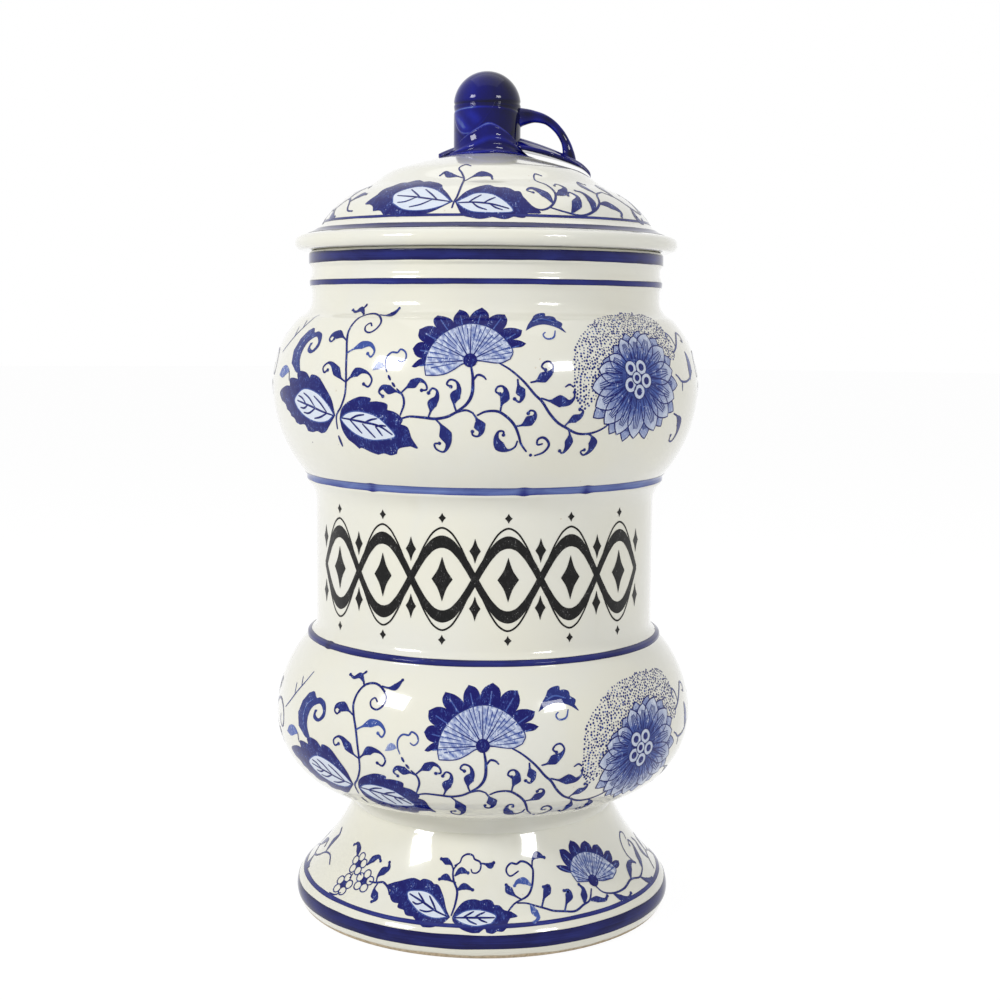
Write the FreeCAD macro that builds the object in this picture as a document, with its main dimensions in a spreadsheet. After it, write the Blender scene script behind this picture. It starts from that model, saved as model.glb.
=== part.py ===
"""Footed biscuit jar of glazed ceramic with a lift-off lid and a rosebud knob.

The jar stands on the plane z = 0 with its axis on Z. The front, where the band's ornament is, faces -Y,
and the knob's stem loop is on the +X side. All sizes are in millimetres.
"""

import FreeCAD, Part
import math
import os

import Sketcher

OUT_FOLDER = "parts"
EDGE_TOLERANCE = 1e-6

# Driving dimensions: alias, value
SIZES = [
    # Pedestal foot
    ("foot_height", 37.0),
    ("foot_flare", 21.0),
    ("foot_lip_height", 5.6),
    ("foot_lip_tuck", 2.2),
    ("foot_lip_shoulder", 10.8),
    ("foot_sweep_radius", 74.0),
    ("foot_wall", 5.5),
    ("foot_ring_width", 5.0),
    # Jar body, from the waist up
    ("band_radius", 61.0),
    ("band_height", 43.4),
    ("jar_wall", 5.5),
    ("waist_inset", 13.3),
    ("waist_height", 5.5),
    ("waist_step", 1.2),
    ("floor_thickness", 5.0),
    ("lower_bulge", 14.4),
    ("lower_belly_drop", 27.0),
    ("lower_shoulder_rise", 28.1),
    ("lower_ledge_step", 3.3),
    ("lower_ledge_height", 1.6),
    ("lower_ledge_sweep", 4.2),
    ("upper_ledge_step", 3.3),
    ("upper_ledge_height", 2.2),
    ("upper_ledge_sweep", 7.4),
    ("upper_bulge", 15.5),
    ("upper_belly_drop", 31.9),
    ("upper_shoulder_rise", 23.8),
    ("shoulder_step", 4.4),
    ("neck_step", 1.2),
    ("neck_sweep", 6.3),
    ("neck_height", 3.4),
    ("bead_height", 0.8),
    ("bead_width", 5.0),
    ("bead_gap", 2.6),
    ("collar_height", 5.9),
    ("collar_step", 1.0),
    ("collar_round", 1.2),
    ("mouth_wall", 6.8),
    # Lid
    ("ring_clearance", 1.4),
    ("ring_depth", 10.0),
    ("ring_wall", 4.2),
    ("ring_edge_round", 1.2),
    ("brim_overhang", 5.0),
    ("brim_lip", 2.7),
    ("brim_slope_width", 9.4),
    ("brim_slope_rise", 3.6),
    ("brim_sweep_radius", 14.0),
    ("dome_side_width", 15.4),
    ("dome_side_rise", 13.0),
    ("dome_side_radius", 30.0),
    ("crown_rise", 9.3),
    ("lid_wall", 4.6),
    ("lid_inner_shoulder", 3.4),
    ("vent_radius", 1.6),
    # Rosebud knob, with its levels measured from the top of the lid's crown
    ("bud_radius", 10.6),
    ("bud_height", 32.2),
    ("bud_wall", 3.4),
    ("petal_thickness", 1.3),
    ("petal_turn", 235.0),
    ("petal_slit", 0.5),
    ("cap_drop", 10.6),
    ("cap_gap", 0.8),
    ("calyx_thickness", 1.1),
    ("calyx_height", 13.0),
    ("calyx_rim", 1.5),
    ("calyx_rim_height", 1.8),
    ("sepal_notch_height", 3.4),
    ("sepal_point", 0.6),
    # Leaves lying on the lid
    ("leaf_thickness", 4.4),
    ("leaf_edge_thickness", 1.2),
    ("leaf_width", 20.0),
    ("leaf_root", 6.0),
    ("leaf_right_reach", 37.0),
    ("leaf_right_angle", 355.0),
    ("leaf_left_reach", 27.0),
    ("leaf_left_angle", 176.0),
    ("leaf_back_reach", 32.0),
    ("leaf_back_angle", 86.0),
    # Stem loop
    ("stem_thickness", 3.3),
    ("stem_height", 16.3),
    ("stem_reach", 28.6),
    ("stem_bend_radius", 9.8),
    ("stem_root", 2.0),
]

PETALS = ("petal_front", "petal_back", "petal_left")
SEPALS = 4


def size(alias):
    """Returns the expression that reads one driving dimension."""
    return f"sizes.{alias}"


def total(*terms):
    """Returns the expression of a sum. A term that starts with a minus sign is taken away."""
    text = ""
    for term in terms:
        taken = term.startswith("-")
        sign = " - " if taken else " + "
        text += (sign if text or taken else "") + f"({term.lstrip('-')})"
    return text.strip()


def swell_radius(across, along):
    """Returns the radius of an arc that starts parallel to the second leg and ends both legs away."""
    return f"(({across})^2 + ({along})^2) / (2 * ({across}))"


def drop_at(radius, reach):
    """Returns how far a round crown of this radius has dropped at this reach from its axis."""
    return f"({radius}) - sqrt(({radius})^2 - ({reach})^2)"


# Radii of the jar, each one stepping in or out from the band between the two bulbs
BAND_R = size("band_radius")
WAIST_R = total(BAND_R, "-" + size("waist_inset"))
STUB_R = total(WAIST_R, size("waist_step"))
LOWER_R = total(BAND_R, size("lower_bulge"))
LOWER_LEDGE_R = total(BAND_R, size("lower_ledge_step"))
UPPER_LEDGE_R = total(BAND_R, size("upper_ledge_step"))
UPPER_R = total(BAND_R, size("upper_bulge"))
NECK_R = total(BAND_R, size("neck_step"))
SHOULDER_R = total(NECK_R, size("shoulder_step"))
COLLAR_R = total(NECK_R, size("collar_step"))
MOUTH_R = total(COLLAR_R, "-" + size("mouth_wall"))
FOOT_R = total(WAIST_R, size("foot_flare"))

# Levels of the jar, stacked from the table up
WAIST_Z = size("foot_height")
STUB_Z = total(WAIST_Z, size("waist_height"))
BELLY_Z = total(STUB_Z, size("waist_step"))
LOWER_Z = total(BELLY_Z, size("lower_belly_drop"))
LOWER_LEDGE_Z = total(LOWER_Z, size("lower_shoulder_rise"))
LOWER_LEDGE_TOP_Z = total(LOWER_LEDGE_Z, size("lower_ledge_height"))
BAND_Z = total(LOWER_LEDGE_TOP_Z, size("lower_ledge_sweep"))
BAND_TOP_Z = total(BAND_Z, size("band_height"))
UPPER_LEDGE_Z = total(BAND_TOP_Z, size("upper_ledge_sweep"))
UPPER_LEDGE_TOP_Z = total(UPPER_LEDGE_Z, size("upper_ledge_height"))
UPPER_Z = total(UPPER_LEDGE_TOP_Z, size("upper_belly_drop"))
SHOULDER_Z = total(UPPER_Z, size("upper_shoulder_rise"))
NECK_Z = total(SHOULDER_Z, size("neck_sweep"))
BEAD_Z = total(NECK_Z, size("neck_height"))
BEAD_TOP_Z = total(BEAD_Z, size("bead_width"))
COLLAR_Z = total(BEAD_TOP_Z, size("bead_gap"))
RIM_Z = total(COLLAR_Z, size("collar_height"))

# Lid, measured from the rim that it rests on
RING_R = total(MOUTH_R, "-" + size("ring_clearance"))
RING_IN_R = total(RING_R, "-" + size("ring_wall"))
BRIM_R = total(COLLAR_R, size("brim_overhang"))
LIP_Z = total(RIM_Z, size("brim_lip"))
LIP_TOP_Z = total(LIP_Z, size("brim_lip"))
SLOPE_R = total(BRIM_R, "-" + size("brim_slope_width"))
SLOPE_Z = total(LIP_TOP_Z, size("brim_slope_rise"))
CROWN_R = total(SLOPE_R, "-" + size("dome_side_width"))
CROWN_Z = total(SLOPE_Z, size("dome_side_rise"))
CROWN_TOP_Z = total(CROWN_Z, size("crown_rise"))
CROWN_SPHERE = swell_radius(size("crown_rise"), CROWN_R)

# Rosebud knob, measured from the top of the crown that it sits on
BUD_R = size("bud_radius")
PETAL_R = total(BUD_R, size("petal_thickness"))
BUD_BORE_R = total(BUD_R, "-" + size("bud_wall"))
BUD_TOP_Z = total(CROWN_TOP_Z, size("bud_height"))
BUD_ROUND_Z = total(BUD_TOP_Z, "-" + PETAL_R)
CAP_Z = total(BUD_TOP_Z, "-" + size("cap_drop"))
PETAL_TOP_Z = total(CAP_Z, "-" + size("cap_gap"))
CALYX_R = total(PETAL_R, size("calyx_thickness"))
CALYX_RIM_R = total(CALYX_R, size("calyx_rim"))
CALYX_Z = total(CROWN_TOP_Z, size("calyx_height"))
STEM_Z = total(CROWN_TOP_Z, size("stem_height"))


def crown_level(reach):
    """Returns the level of the lid's crown at this reach from the axis."""
    return total(CROWN_TOP_Z, "-(" + drop_at(CROWN_SPHERE, reach) + ")")


def round_reach(radius, level):
    """Returns the reach of the bud's round top, of this radius, at this level."""
    return f"sqrt(({radius})^2 - ({total(level, '-' + BUD_ROUND_Z)})^2)"


class Drawing:
    """One document with its sheet of sizes, and the ways in which its pieces are made."""

    def __init__(self):
        self.document = FreeCAD.newDocument("biscuit_jar")
        self.sheet = self.document.addObject("Spreadsheet::Sheet", "sizes")
        for row, (alias, value) in enumerate(SIZES, start=1):
            self.sheet.set(f"A{row}", alias)
            self.sheet.set(f"B{row}", str(value))
            self.sheet.setAlias(f"B{row}", alias)
        self.document.recompute()
        self.pieces = []

    def value(self, expression):
        """Returns the number that an expression on the sheet gives."""
        return float(self.sheet.evalExpression(expression))

    def outline(self, sketch, corners, edges):
        """Draws a closed outline of lines and arcs whose corners and radii are bound to the sheet.

        corners holds a pair of expressions for each corner. edges holds, for the stretch that starts at
        each corner, None for a line, or a pair: the arc's radius and +1 or -1 for the side it swells to,
        where +1 is the left side on the way to the next corner.
        """
        points = [FreeCAD.Vector(self.value(x), self.value(y), 0) for x, y in corners]
        for index, edge in enumerate(edges):
            start, end = points[index], points[(index + 1) % len(points)]
            if edge is None:
                sketch.addGeometry(Part.LineSegment(start, end))
            else:
                radius = self.value(edge[0])
                sketch.addGeometry(arc_between(start, end, radius, edge[1]))
        for index, (x, y) in enumerate(corners):
            before = (index - 1) % len(corners)
            joint = corner_of(sketch, before, points[index])
            own = corner_of(sketch, index, points[index])
            sketch.addConstraint(Sketcher.Constraint("Coincident", before, joint, index, own))
            self.pin(sketch, index, own, "X", x)
            self.pin(sketch, index, own, "Y", y)
        for index, edge in enumerate(edges):
            if edge is not None:
                number = sketch.addConstraint(Sketcher.Constraint("Radius", index, self.value(edge[0])))
                sketch.setExpression(f"Constraints[{number}]", edge[0])

    def pin(self, sketch, edge, end, axis, expression):
        """Holds one corner at its distance from the sketch's origin along one axis."""
        amount = self.value(expression)
        if expression == "0":
            on_axis = -2 if axis == "X" else -1
            sketch.addConstraint(Sketcher.Constraint("PointOnObject", edge, end, on_axis))
            return
        kind = "Distance" + axis
        number = sketch.addConstraint(Sketcher.Constraint(kind, -1, 1, edge, end, amount))
        sketch.setExpression(f"Constraints[{number}]", expression)

    def body_sketch(self, body, name, plane):
        """Adds a sketch on one of a body's own origin planes."""
        sketch = body.newObject("Sketcher::SketchObject", name)
        face = next(f for f in body.Origin.OriginFeatures if f.Role == plane)
        sketch.AttachmentSupport = [(face, "")]
        sketch.MapMode = "FlatFace"
        return sketch

    def turned_body(self, name, corners, edges):
        """Makes a body that is turned about Z from one outline of radius and level."""
        body = self.document.addObject("PartDesign::Body", name)
        sketch = self.body_sketch(body, name + "_outline", "XZ_Plane")
        self.outline(sketch, corners, edges)
        turned = body.newObject("PartDesign::Revolution", name + "_turned")
        turned.Profile = sketch
        turned.ReferenceAxis = (sketch, ["V_Axis"])
        turned.Angle = 360.0
        self.document.recompute()
        return body

    def turned_shell(self, name, corners, edges):
        """Makes a turned solid that other shapes are cut from."""
        sketch = self.document.addObject("Sketcher::SketchObject", name + "_outline")
        sketch.Placement.Rotation = FreeCAD.Rotation(FreeCAD.Vector(1, 0, 0), 90)
        self.outline(sketch, corners, edges)
        turned = self.document.addObject("Part::Revolution", name)
        turned.Source = sketch
        turned.Axis = FreeCAD.Vector(0, 0, 1)
        turned.Angle = 360.0
        turned.Solid = True
        return turned

    def prism(self, name, corners, edges, upright, length):
        """Makes a straight prism from an outline: up from the ground, or forward from the XZ plane."""
        sketch = self.document.addObject("Sketcher::SketchObject", name + "_outline")
        if not upright:
            sketch.Placement.Rotation = FreeCAD.Rotation(FreeCAD.Vector(1, 0, 0), 90)
        self.outline(sketch, corners, edges)
        solid = self.document.addObject("Part::Extrusion", name)
        solid.Base = sketch
        solid.DirMode = "Custom"
        solid.Dir = FreeCAD.Vector(0, 0, 1) if upright else FreeCAD.Vector(0, -1, 0)
        solid.setExpression("LengthFwd", length)
        solid.Solid = True
        return solid

    def combine(self, kind, name, base, tool):
        """Cuts one solid by another, or keeps what two solids share."""
        made = self.document.addObject(f"Part::{kind}", name)
        made.Base = base
        made.Tool = tool
        return made

    def keep(self, piece, label):
        """Lists a finished sub-part under the name of its file."""
        piece.Label = label
        self.pieces.append(piece)

    def write(self):
        """Checks every object, then writes each sub-part to its own file."""
        self.document.recompute()
        for item in self.document.Objects:
            if {"Invalid", "Error"} & set(item.State):
                raise RuntimeError(f"{item.Label} is {item.State}")
        for piece in self.pieces:
            shape = piece.Shape
            if shape.isNull() or not shape.isValid() or not shape.Solids:
                raise RuntimeError(f"{piece.Label} has no sound solid")
        os.makedirs(OUT_FOLDER, exist_ok=True)
        for piece in self.pieces:
            piece.Shape.exportStep(os.path.join(OUT_FOLDER, piece.Label + ".step"))
            print(f"{piece.Label}: {len(piece.Shape.Solids)} solid, {piece.Shape.Volume:.0f} mm3")


def arc_between(start, end, radius, side):
    """Returns the shorter arc of this radius from one point to another, swelling to the given side."""
    chord = end - start
    half = chord.Length / 2
    rise = radius - math.sqrt(max(radius * radius - half * half, 0.0))
    across = FreeCAD.Vector(-chord.y, chord.x, 0).normalize()
    middle = (start + end) * 0.5 + across * (side * rise)
    return Part.Arc(start, middle, end)


def corner_of(sketch, edge, point):
    """Returns 1 or 2, the end of a sketch's edge that lies at a point."""
    ends = (sketch.getPoint(edge, 1), sketch.getPoint(edge, 2))
    return 1 if (ends[0] - point).Length < (ends[1] - point).Length else 2


def make_pedestal_foot(drawing):
    """The hollow foot, turned with a rounded lip and open below, luted under the jar's waist."""
    inner_r = total(WAIST_R, "-" + size("foot_wall"))
    ring_out_r = total(FOOT_R, "-" + size("foot_lip_tuck"))
    ring_in_r = total(ring_out_r, "-" + size("foot_ring_width"))
    lip_top = size("foot_lip_shoulder")
    lip_rise = total(lip_top, "-" + size("foot_lip_height"))
    corners = [
        (ring_in_r, "0"),
        (ring_out_r, "0"),
        (FOOT_R, size("foot_lip_height")),
        (ring_out_r, lip_top),
        (WAIST_R, WAIST_Z),
        (inner_r, WAIST_Z),
        (total(ring_out_r, "-" + size("foot_wall")), lip_top),
    ]
    edges = [
        None,
        (swell_radius(size("foot_lip_tuck"), size("foot_lip_height")), -1),
        (swell_radius(size("foot_lip_tuck"), lip_rise), -1),
        (size("foot_sweep_radius"), 1),
        None,
        (size("foot_sweep_radius"), -1),
        None,
    ]
    drawing.keep(drawing.turned_body("pedestal_foot", corners, edges), "pedestal_foot")


def jar_outside():
    """Returns the outside corners and edges of the jar, from the middle of its underside to its rim."""
    rim_r = total(COLLAR_R, "-" + size("collar_round"))
    rim_edge_z = total(RIM_Z, "-" + size("collar_round"))
    bead_half = f"({size('bead_width')}) / 2"
    corners = [
        ("0", WAIST_Z),
        (WAIST_R, WAIST_Z),
        (WAIST_R, STUB_Z),
        (STUB_R, BELLY_Z),
        (LOWER_R, LOWER_Z),
        (LOWER_LEDGE_R, LOWER_LEDGE_Z),
        (LOWER_LEDGE_R, LOWER_LEDGE_TOP_Z),
        (BAND_R, BAND_Z),
        (BAND_R, BAND_TOP_Z),
        (UPPER_LEDGE_R, UPPER_LEDGE_Z),
        (UPPER_LEDGE_R, UPPER_LEDGE_TOP_Z),
        (UPPER_R, UPPER_Z),
        (SHOULDER_R, SHOULDER_Z),
        (NECK_R, NECK_Z),
        (NECK_R, BEAD_Z),
        (NECK_R, BEAD_TOP_Z),
        (NECK_R, COLLAR_Z),
        (COLLAR_R, total(COLLAR_Z, size("collar_step"))),
        (COLLAR_R, rim_edge_z),
        (rim_r, RIM_Z),
    ]
    edges = [
        None,
        None,
        None,
        (swell_radius(total(LOWER_R, "-" + STUB_R), size("lower_belly_drop")), -1),
        (swell_radius(total(LOWER_R, "-" + LOWER_LEDGE_R), size("lower_shoulder_rise")), -1),
        None,
        (swell_radius(size("lower_ledge_step"), size("lower_ledge_sweep")), 1),
        None,
        (swell_radius(size("upper_ledge_step"), size("upper_ledge_sweep")), 1),
        None,
        (swell_radius(total(UPPER_R, "-" + UPPER_LEDGE_R), size("upper_belly_drop")), -1),
        (swell_radius(total(UPPER_R, "-" + SHOULDER_R), size("upper_shoulder_rise")), -1),
        (swell_radius(size("shoulder_step"), size("neck_sweep")), 1),
        None,
        (swell_radius(size("bead_height"), bead_half), -1),
        None,
        None,
        None,
        (swell_radius(size("collar_round"), size("collar_round")), -1),
        None,
    ]
    return corners, edges


def make_jar_body(drawing):
    """The cast jar: two bulbs with the straight band between them, a beaded neck and a flat floor."""
    corners, edges = jar_outside()
    wall = "-" + size("jar_wall")
    floor_r = total(WAIST_R, wall)
    floor_z = total(WAIST_Z, size("floor_thickness"))
    inner_belly = total(LOWER_R, "-" + STUB_R, wall)
    inner_drop = total(size("lower_belly_drop"), wall)
    inner_belly_z = total(BELLY_Z, size("jar_wall"))
    corners += [
        (MOUTH_R, RIM_Z),
        (MOUTH_R, NECK_Z),
        (total(SHOULDER_R, wall), SHOULDER_Z),
        (total(UPPER_R, wall), UPPER_Z),
        (total(UPPER_LEDGE_R, wall), UPPER_LEDGE_TOP_Z),
        (total(BAND_R, wall), BAND_TOP_Z),
        (total(BAND_R, wall), BAND_Z),
        (total(LOWER_LEDGE_R, wall), LOWER_LEDGE_Z),
        (total(LOWER_R, wall), LOWER_Z),
        (STUB_R, inner_belly_z),
        (floor_r, inner_belly_z),
        (floor_r, floor_z),
        ("0", floor_z),
    ]
    edges += [
        None,
        None,
        (swell_radius(total(UPPER_R, "-" + SHOULDER_R), size("upper_shoulder_rise")), 1),
        (swell_radius(total(UPPER_R, "-" + UPPER_LEDGE_R), size("upper_belly_drop")), 1),
        None,
        None,
        None,
        (swell_radius(total(LOWER_R, "-" + LOWER_LEDGE_R), size("lower_shoulder_rise")), 1),
        (swell_radius(inner_belly, inner_drop), 1),
        None,
        None,
        None,
        None,
    ]
    drawing.keep(drawing.turned_body("jar_body", corners, edges), "jar_body")


def make_lid_dome(drawing):
    """The hollow lid with its rounded brim, and a vent under the hollow bud."""
    tuck_r = total(BRIM_R, "-" + size("brim_lip"))
    inset = "-" + size("lid_inner_shoulder")
    inner_rise = total(size("crown_rise"), "-" + size("lid_wall"), size("lid_inner_shoulder"))
    inner_crown_r = total(CROWN_R, inset)
    corners = [
        (RING_IN_R, RIM_Z),
        (tuck_r, RIM_Z),
        (BRIM_R, LIP_Z),
        (tuck_r, LIP_TOP_Z),
        (SLOPE_R, SLOPE_Z),
        (CROWN_R, CROWN_Z),
        (size("vent_radius"), crown_level(size("vent_radius"))),
        (size("vent_radius"), total(CROWN_TOP_Z, "-" + size("lid_wall"))),
        (inner_crown_r, total(CROWN_Z, inset)),
        (RING_IN_R, total(SLOPE_Z, inset)),
    ]
    edges = [
        None,
        (size("brim_lip"), -1),
        (size("brim_lip"), -1),
        (size("brim_sweep_radius"), 1),
        (size("dome_side_radius"), -1),
        (CROWN_SPHERE, -1),
        None,
        (swell_radius(inner_rise, inner_crown_r), 1),
        (size("dome_side_radius"), 1),
        None,
    ]
    drawing.keep(drawing.turned_body("lid_dome", corners, edges), "lid_dome")


def make_locating_ring(drawing):
    """The ring luted under the lid, which drops into the mouth and keeps the lid on centre."""
    body = drawing.document.addObject("PartDesign::Body", "locating_ring")
    sketch = drawing.body_sketch(body, "locating_ring_outline", "XY_Plane")
    sketch.setExpression("AttachmentOffset.Base.z", RIM_Z)
    for index, radius in enumerate((RING_R, RING_IN_R)):
        centre = FreeCAD.Vector(0, 0, 0)
        up = FreeCAD.Vector(0, 0, 1)
        sketch.addGeometry(Part.Circle(centre, up, drawing.value(radius)))
        sketch.addConstraint(Sketcher.Constraint("Coincident", index, 3, -1, 1))
        number = sketch.addConstraint(Sketcher.Constraint("Radius", index, drawing.value(radius)))
        sketch.setExpression(f"Constraints[{number}]", radius)
    pad = body.newObject("PartDesign::Pad", "locating_ring_pad")
    pad.Profile = sketch
    pad.Reversed = True
    pad.setExpression("Length", size("ring_depth"))
    drawing.document.recompute()
    level = drawing.value(total(RIM_Z, "-" + size("ring_depth")))
    lower = [
        f"Edge{number}"
        for number, edge in enumerate(pad.Shape.Edges, start=1)
        if abs(edge.BoundBox.ZMax - level) < EDGE_TOLERANCE
    ]
    rounding = body.newObject("PartDesign::Fillet", "locating_ring_round")
    rounding.Base = (pad, lower)
    rounding.setExpression("Radius", size("ring_edge_round"))
    drawing.keep(body, "locating_ring")


def make_bud_core(drawing):
    """The hollow bud that the petals wrap, seated on the lid's crown over the vent."""
    corners = [
        (BUD_BORE_R, crown_level(BUD_BORE_R)),
        (BUD_R, crown_level(BUD_R)),
        (BUD_R, BUD_ROUND_Z),
        ("0", total(BUD_ROUND_Z, BUD_R)),
        ("0", total(BUD_ROUND_Z, BUD_BORE_R)),
        (BUD_BORE_R, BUD_ROUND_Z),
    ]
    edges = [(CROWN_SPHERE, 1), None, (BUD_R, -1), None, (BUD_BORE_R, 1), None]
    drawing.keep(drawing.turned_body("bud_core", corners, edges), "bud_core")


def make_bud_cap(drawing):
    """The closed petals over the tip of the bud."""
    corners = [
        (round_reach(BUD_R, CAP_Z), CAP_Z),
        (round_reach(PETAL_R, CAP_Z), CAP_Z),
        ("0", BUD_TOP_Z),
        ("0", total(BUD_ROUND_Z, BUD_R)),
    ]
    edges = [None, (PETAL_R, -1), None, (BUD_R, 1)]
    drawing.keep(drawing.turned_body("bud_cap", corners, edges), "bud_cap")


def petal_layer(drawing, name):
    """The layer round the bud, from the crown to just under the cap, that one petal is cut from."""
    corners = [
        (BUD_R, crown_level(BUD_R)),
        (PETAL_R, crown_level(PETAL_R)),
        (PETAL_R, BUD_ROUND_Z),
        (round_reach(PETAL_R, PETAL_TOP_Z), PETAL_TOP_Z),
        (round_reach(BUD_R, PETAL_TOP_Z), PETAL_TOP_Z),
        (BUD_R, BUD_ROUND_Z),
    ]
    edges = [(CROWN_SPHERE, 1), None, (PETAL_R, -1), None, (BUD_R, 1), None]
    return drawing.turned_shell(name, corners, edges)


def make_petals(drawing):
    """The petals wrapped round the bud, one sector each, with a thin slit between neighbours."""
    share = 360.0 / len(PETALS)
    reach = f"2 * ({PETAL_R}) / cos({share / 2})"
    for index, label in enumerate(PETALS):
        layer = petal_layer(drawing, label + "_layer")
        corners = []
        for side in (-1, 1):
            corners.append((f"({reach}) * cos({share / 2})", f"{side} * ({reach}) * sin({share / 2})"))
        wedge = drawing.prism(label + "_wedge", [("0", "0"), *corners], [None] * 3, True, BUD_TOP_Z)
        turn = f"({size('petal_turn')} + {index * share + share / 2}) * 1 deg"
        wedge.Placement.Rotation = FreeCAD.Rotation(FreeCAD.Vector(0, 0, 1), 1.0)
        wedge.setExpression("Placement.Rotation.Angle", turn)
        wedge.setExpression("Placement.Base.x", f"{size('petal_slit')} * cos({turn})")
        wedge.setExpression("Placement.Base.y", f"{size('petal_slit')} * sin({turn})")
        drawing.keep(drawing.combine("Common", label, layer, wedge), label)


def make_calyx(drawing):
    """The calyx: a ring round the foot of the bud that rises into pointed sepals."""
    corners = [
        (PETAL_R, crown_level(PETAL_R)),
        (CALYX_RIM_R, crown_level(CALYX_RIM_R)),
        (CALYX_RIM_R, total(crown_level(CALYX_RIM_R), size("calyx_rim_height"))),
        (CALYX_R, CALYX_Z),
        (PETAL_R, CALYX_Z),
    ]
    edges = [(CROWN_SPHERE, 1), None, None, None, None]
    calyx = drawing.turned_shell("calyx_ring", corners, edges)
    share = 360.0 / SEPALS
    half = total(f"({CALYX_RIM_R}) * sin({share / 2})", "-" + size("sepal_point"))
    notch = [
        ("0", total(CROWN_TOP_Z, size("sepal_notch_height"))),
        (half, total(CALYX_Z, size("sepal_point"))),
        (f"-({half})", total(CALYX_Z, size("sepal_point"))),
    ]
    for index in range(SEPALS):
        cut = drawing.prism(f"sepal_notch_{index}", notch, [None] * 3, False, f"2 * ({CALYX_RIM_R})")
        angle = share * (index + 0.5)
        cut.Placement.Rotation = FreeCAD.Rotation(FreeCAD.Vector(0, 0, 1), angle)
        calyx = drawing.combine("Cut", f"calyx_{index}", calyx, cut)
    drawing.keep(calyx, "calyx")


def make_leaf(drawing, label):
    """One leaf that lies on the crown from the calyx outward, with a point at each end."""
    reach = size(label + "_reach")
    corners = [
        (CALYX_RIM_R, crown_level(CALYX_RIM_R)),
        (reach, crown_level(reach)),
        (reach, total(crown_level(reach), size("leaf_edge_thickness"))),
        (CALYX_RIM_R, total(crown_level(CALYX_RIM_R), size("leaf_thickness"))),
    ]
    edges = [(CROWN_SPHERE, 1), None, None, None]
    layer = drawing.turned_shell(label + "_layer", corners, edges)
    long_half = f"({total(reach, '-' + size('leaf_root'))}) / 2"
    swell = swell_radius(f"({size('leaf_width')}) / 2", long_half)
    points = [(size("leaf_root"), "0"), (reach, "0")]
    blade = drawing.prism(label + "_blade", points, [(swell, -1)] * 2, True, BUD_TOP_Z)
    blade.Placement.Rotation = FreeCAD.Rotation(FreeCAD.Vector(0, 0, 1), 1.0)
    blade.setExpression("Placement.Rotation.Angle", f"{size(label + '_angle')} * 1 deg")
    drawing.keep(drawing.combine("Common", label, layer, blade), label)


def make_stem_loop(drawing):
    """The stem that leaves the bud sideways and bends down onto the right leaf, open as a loop."""
    body = drawing.document.addObject("PartDesign::Body", "stem_rod")
    path = drawing.body_sketch(body, "stem_path", "XZ_Plane")
    start_x = total(PETAL_R, "-" + size("stem_root"))
    bend_x = total(size("stem_reach"), "-" + size("stem_bend_radius"))
    bend_z = total(STEM_Z, "-" + size("stem_bend_radius"))
    stops = [(start_x, STEM_Z), (bend_x, STEM_Z), (size("stem_reach"), bend_z), (size("stem_reach"), CROWN_Z)]
    points = [FreeCAD.Vector(drawing.value(x), drawing.value(z), 0) for x, z in stops]
    path.addGeometry(Part.LineSegment(points[0], points[1]))
    path.addGeometry(arc_between(points[1], points[2], drawing.value(size("stem_bend_radius")), 1))
    path.addGeometry(Part.LineSegment(points[2], points[3]))
    starts = [(0, 1, stops[0]), (1, corner_of(path, 1, points[1]), stops[1]), (2, 1, stops[2]), (2, 2, stops[3])]
    for edge, end, (x, z) in starts:
        drawing.pin(path, edge, end, "X", x)
        drawing.pin(path, edge, end, "Y", z)
    arc_end = corner_of(path, 1, points[2])
    path.addConstraint(Sketcher.Constraint("Coincident", 0, 2, 1, corner_of(path, 1, points[1])))
    path.addConstraint(Sketcher.Constraint("Coincident", 1, arc_end, 2, 1))
    number = path.addConstraint(Sketcher.Constraint("Radius", 1, drawing.value(size("stem_bend_radius"))))
    path.setExpression(f"Constraints[{number}]", size("stem_bend_radius"))
    section = drawing.body_sketch(body, "stem_section", "YZ_Plane")
    section.setExpression("AttachmentOffset.Base.z", start_x)
    radius = f"({size('stem_thickness')}) / 2"
    centre = FreeCAD.Vector(0, drawing.value(STEM_Z), 0)
    section.addGeometry(Part.Circle(centre, FreeCAD.Vector(0, 0, 1), drawing.value(radius)))
    section.addConstraint(Sketcher.Constraint("PointOnObject", 0, 3, -2))
    drawing.pin(section, 0, 3, "Y", STEM_Z)
    number = section.addConstraint(Sketcher.Constraint("Radius", 0, drawing.value(radius)))
    section.setExpression(f"Constraints[{number}]", radius)
    drawing.document.recompute()
    rod = body.newObject("PartDesign::AdditivePipe", "stem_pipe")
    rod.Profile = section
    rod.Spine = (path, ["Edge1", "Edge2", "Edge3"])
    trimmed = drawing.combine("Cut", "stem_off_leaf", body, stem_seat(drawing))
    drawing.keep(drawing.combine("Cut", "stem_loop", trimmed, petal_space(drawing)), "stem_loop")


def stem_seat(drawing):
    """The solid under the top of the right leaf, which trims the foot of the stem."""
    reach = size("leaf_right_reach")
    corners = [
        ("0", "0"),
        (reach, "0"),
        (reach, total(crown_level(reach), size("leaf_edge_thickness"))),
        (CALYX_RIM_R, total(crown_level(CALYX_RIM_R), size("leaf_thickness"))),
        ("0", total(crown_level(CALYX_RIM_R), size("leaf_thickness"))),
    ]
    return drawing.turned_shell("stem_seat", corners, [None] * 5)


def petal_space(drawing):
    """The round space that the petals fill, which trims the other end of the stem."""
    corners = [("0", CROWN_Z), (PETAL_R, CROWN_Z), (PETAL_R, BUD_ROUND_Z), ("0", BUD_TOP_Z)]
    return drawing.turned_shell("petal_space", corners, [None, None, (PETAL_R, -1), None])


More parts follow.
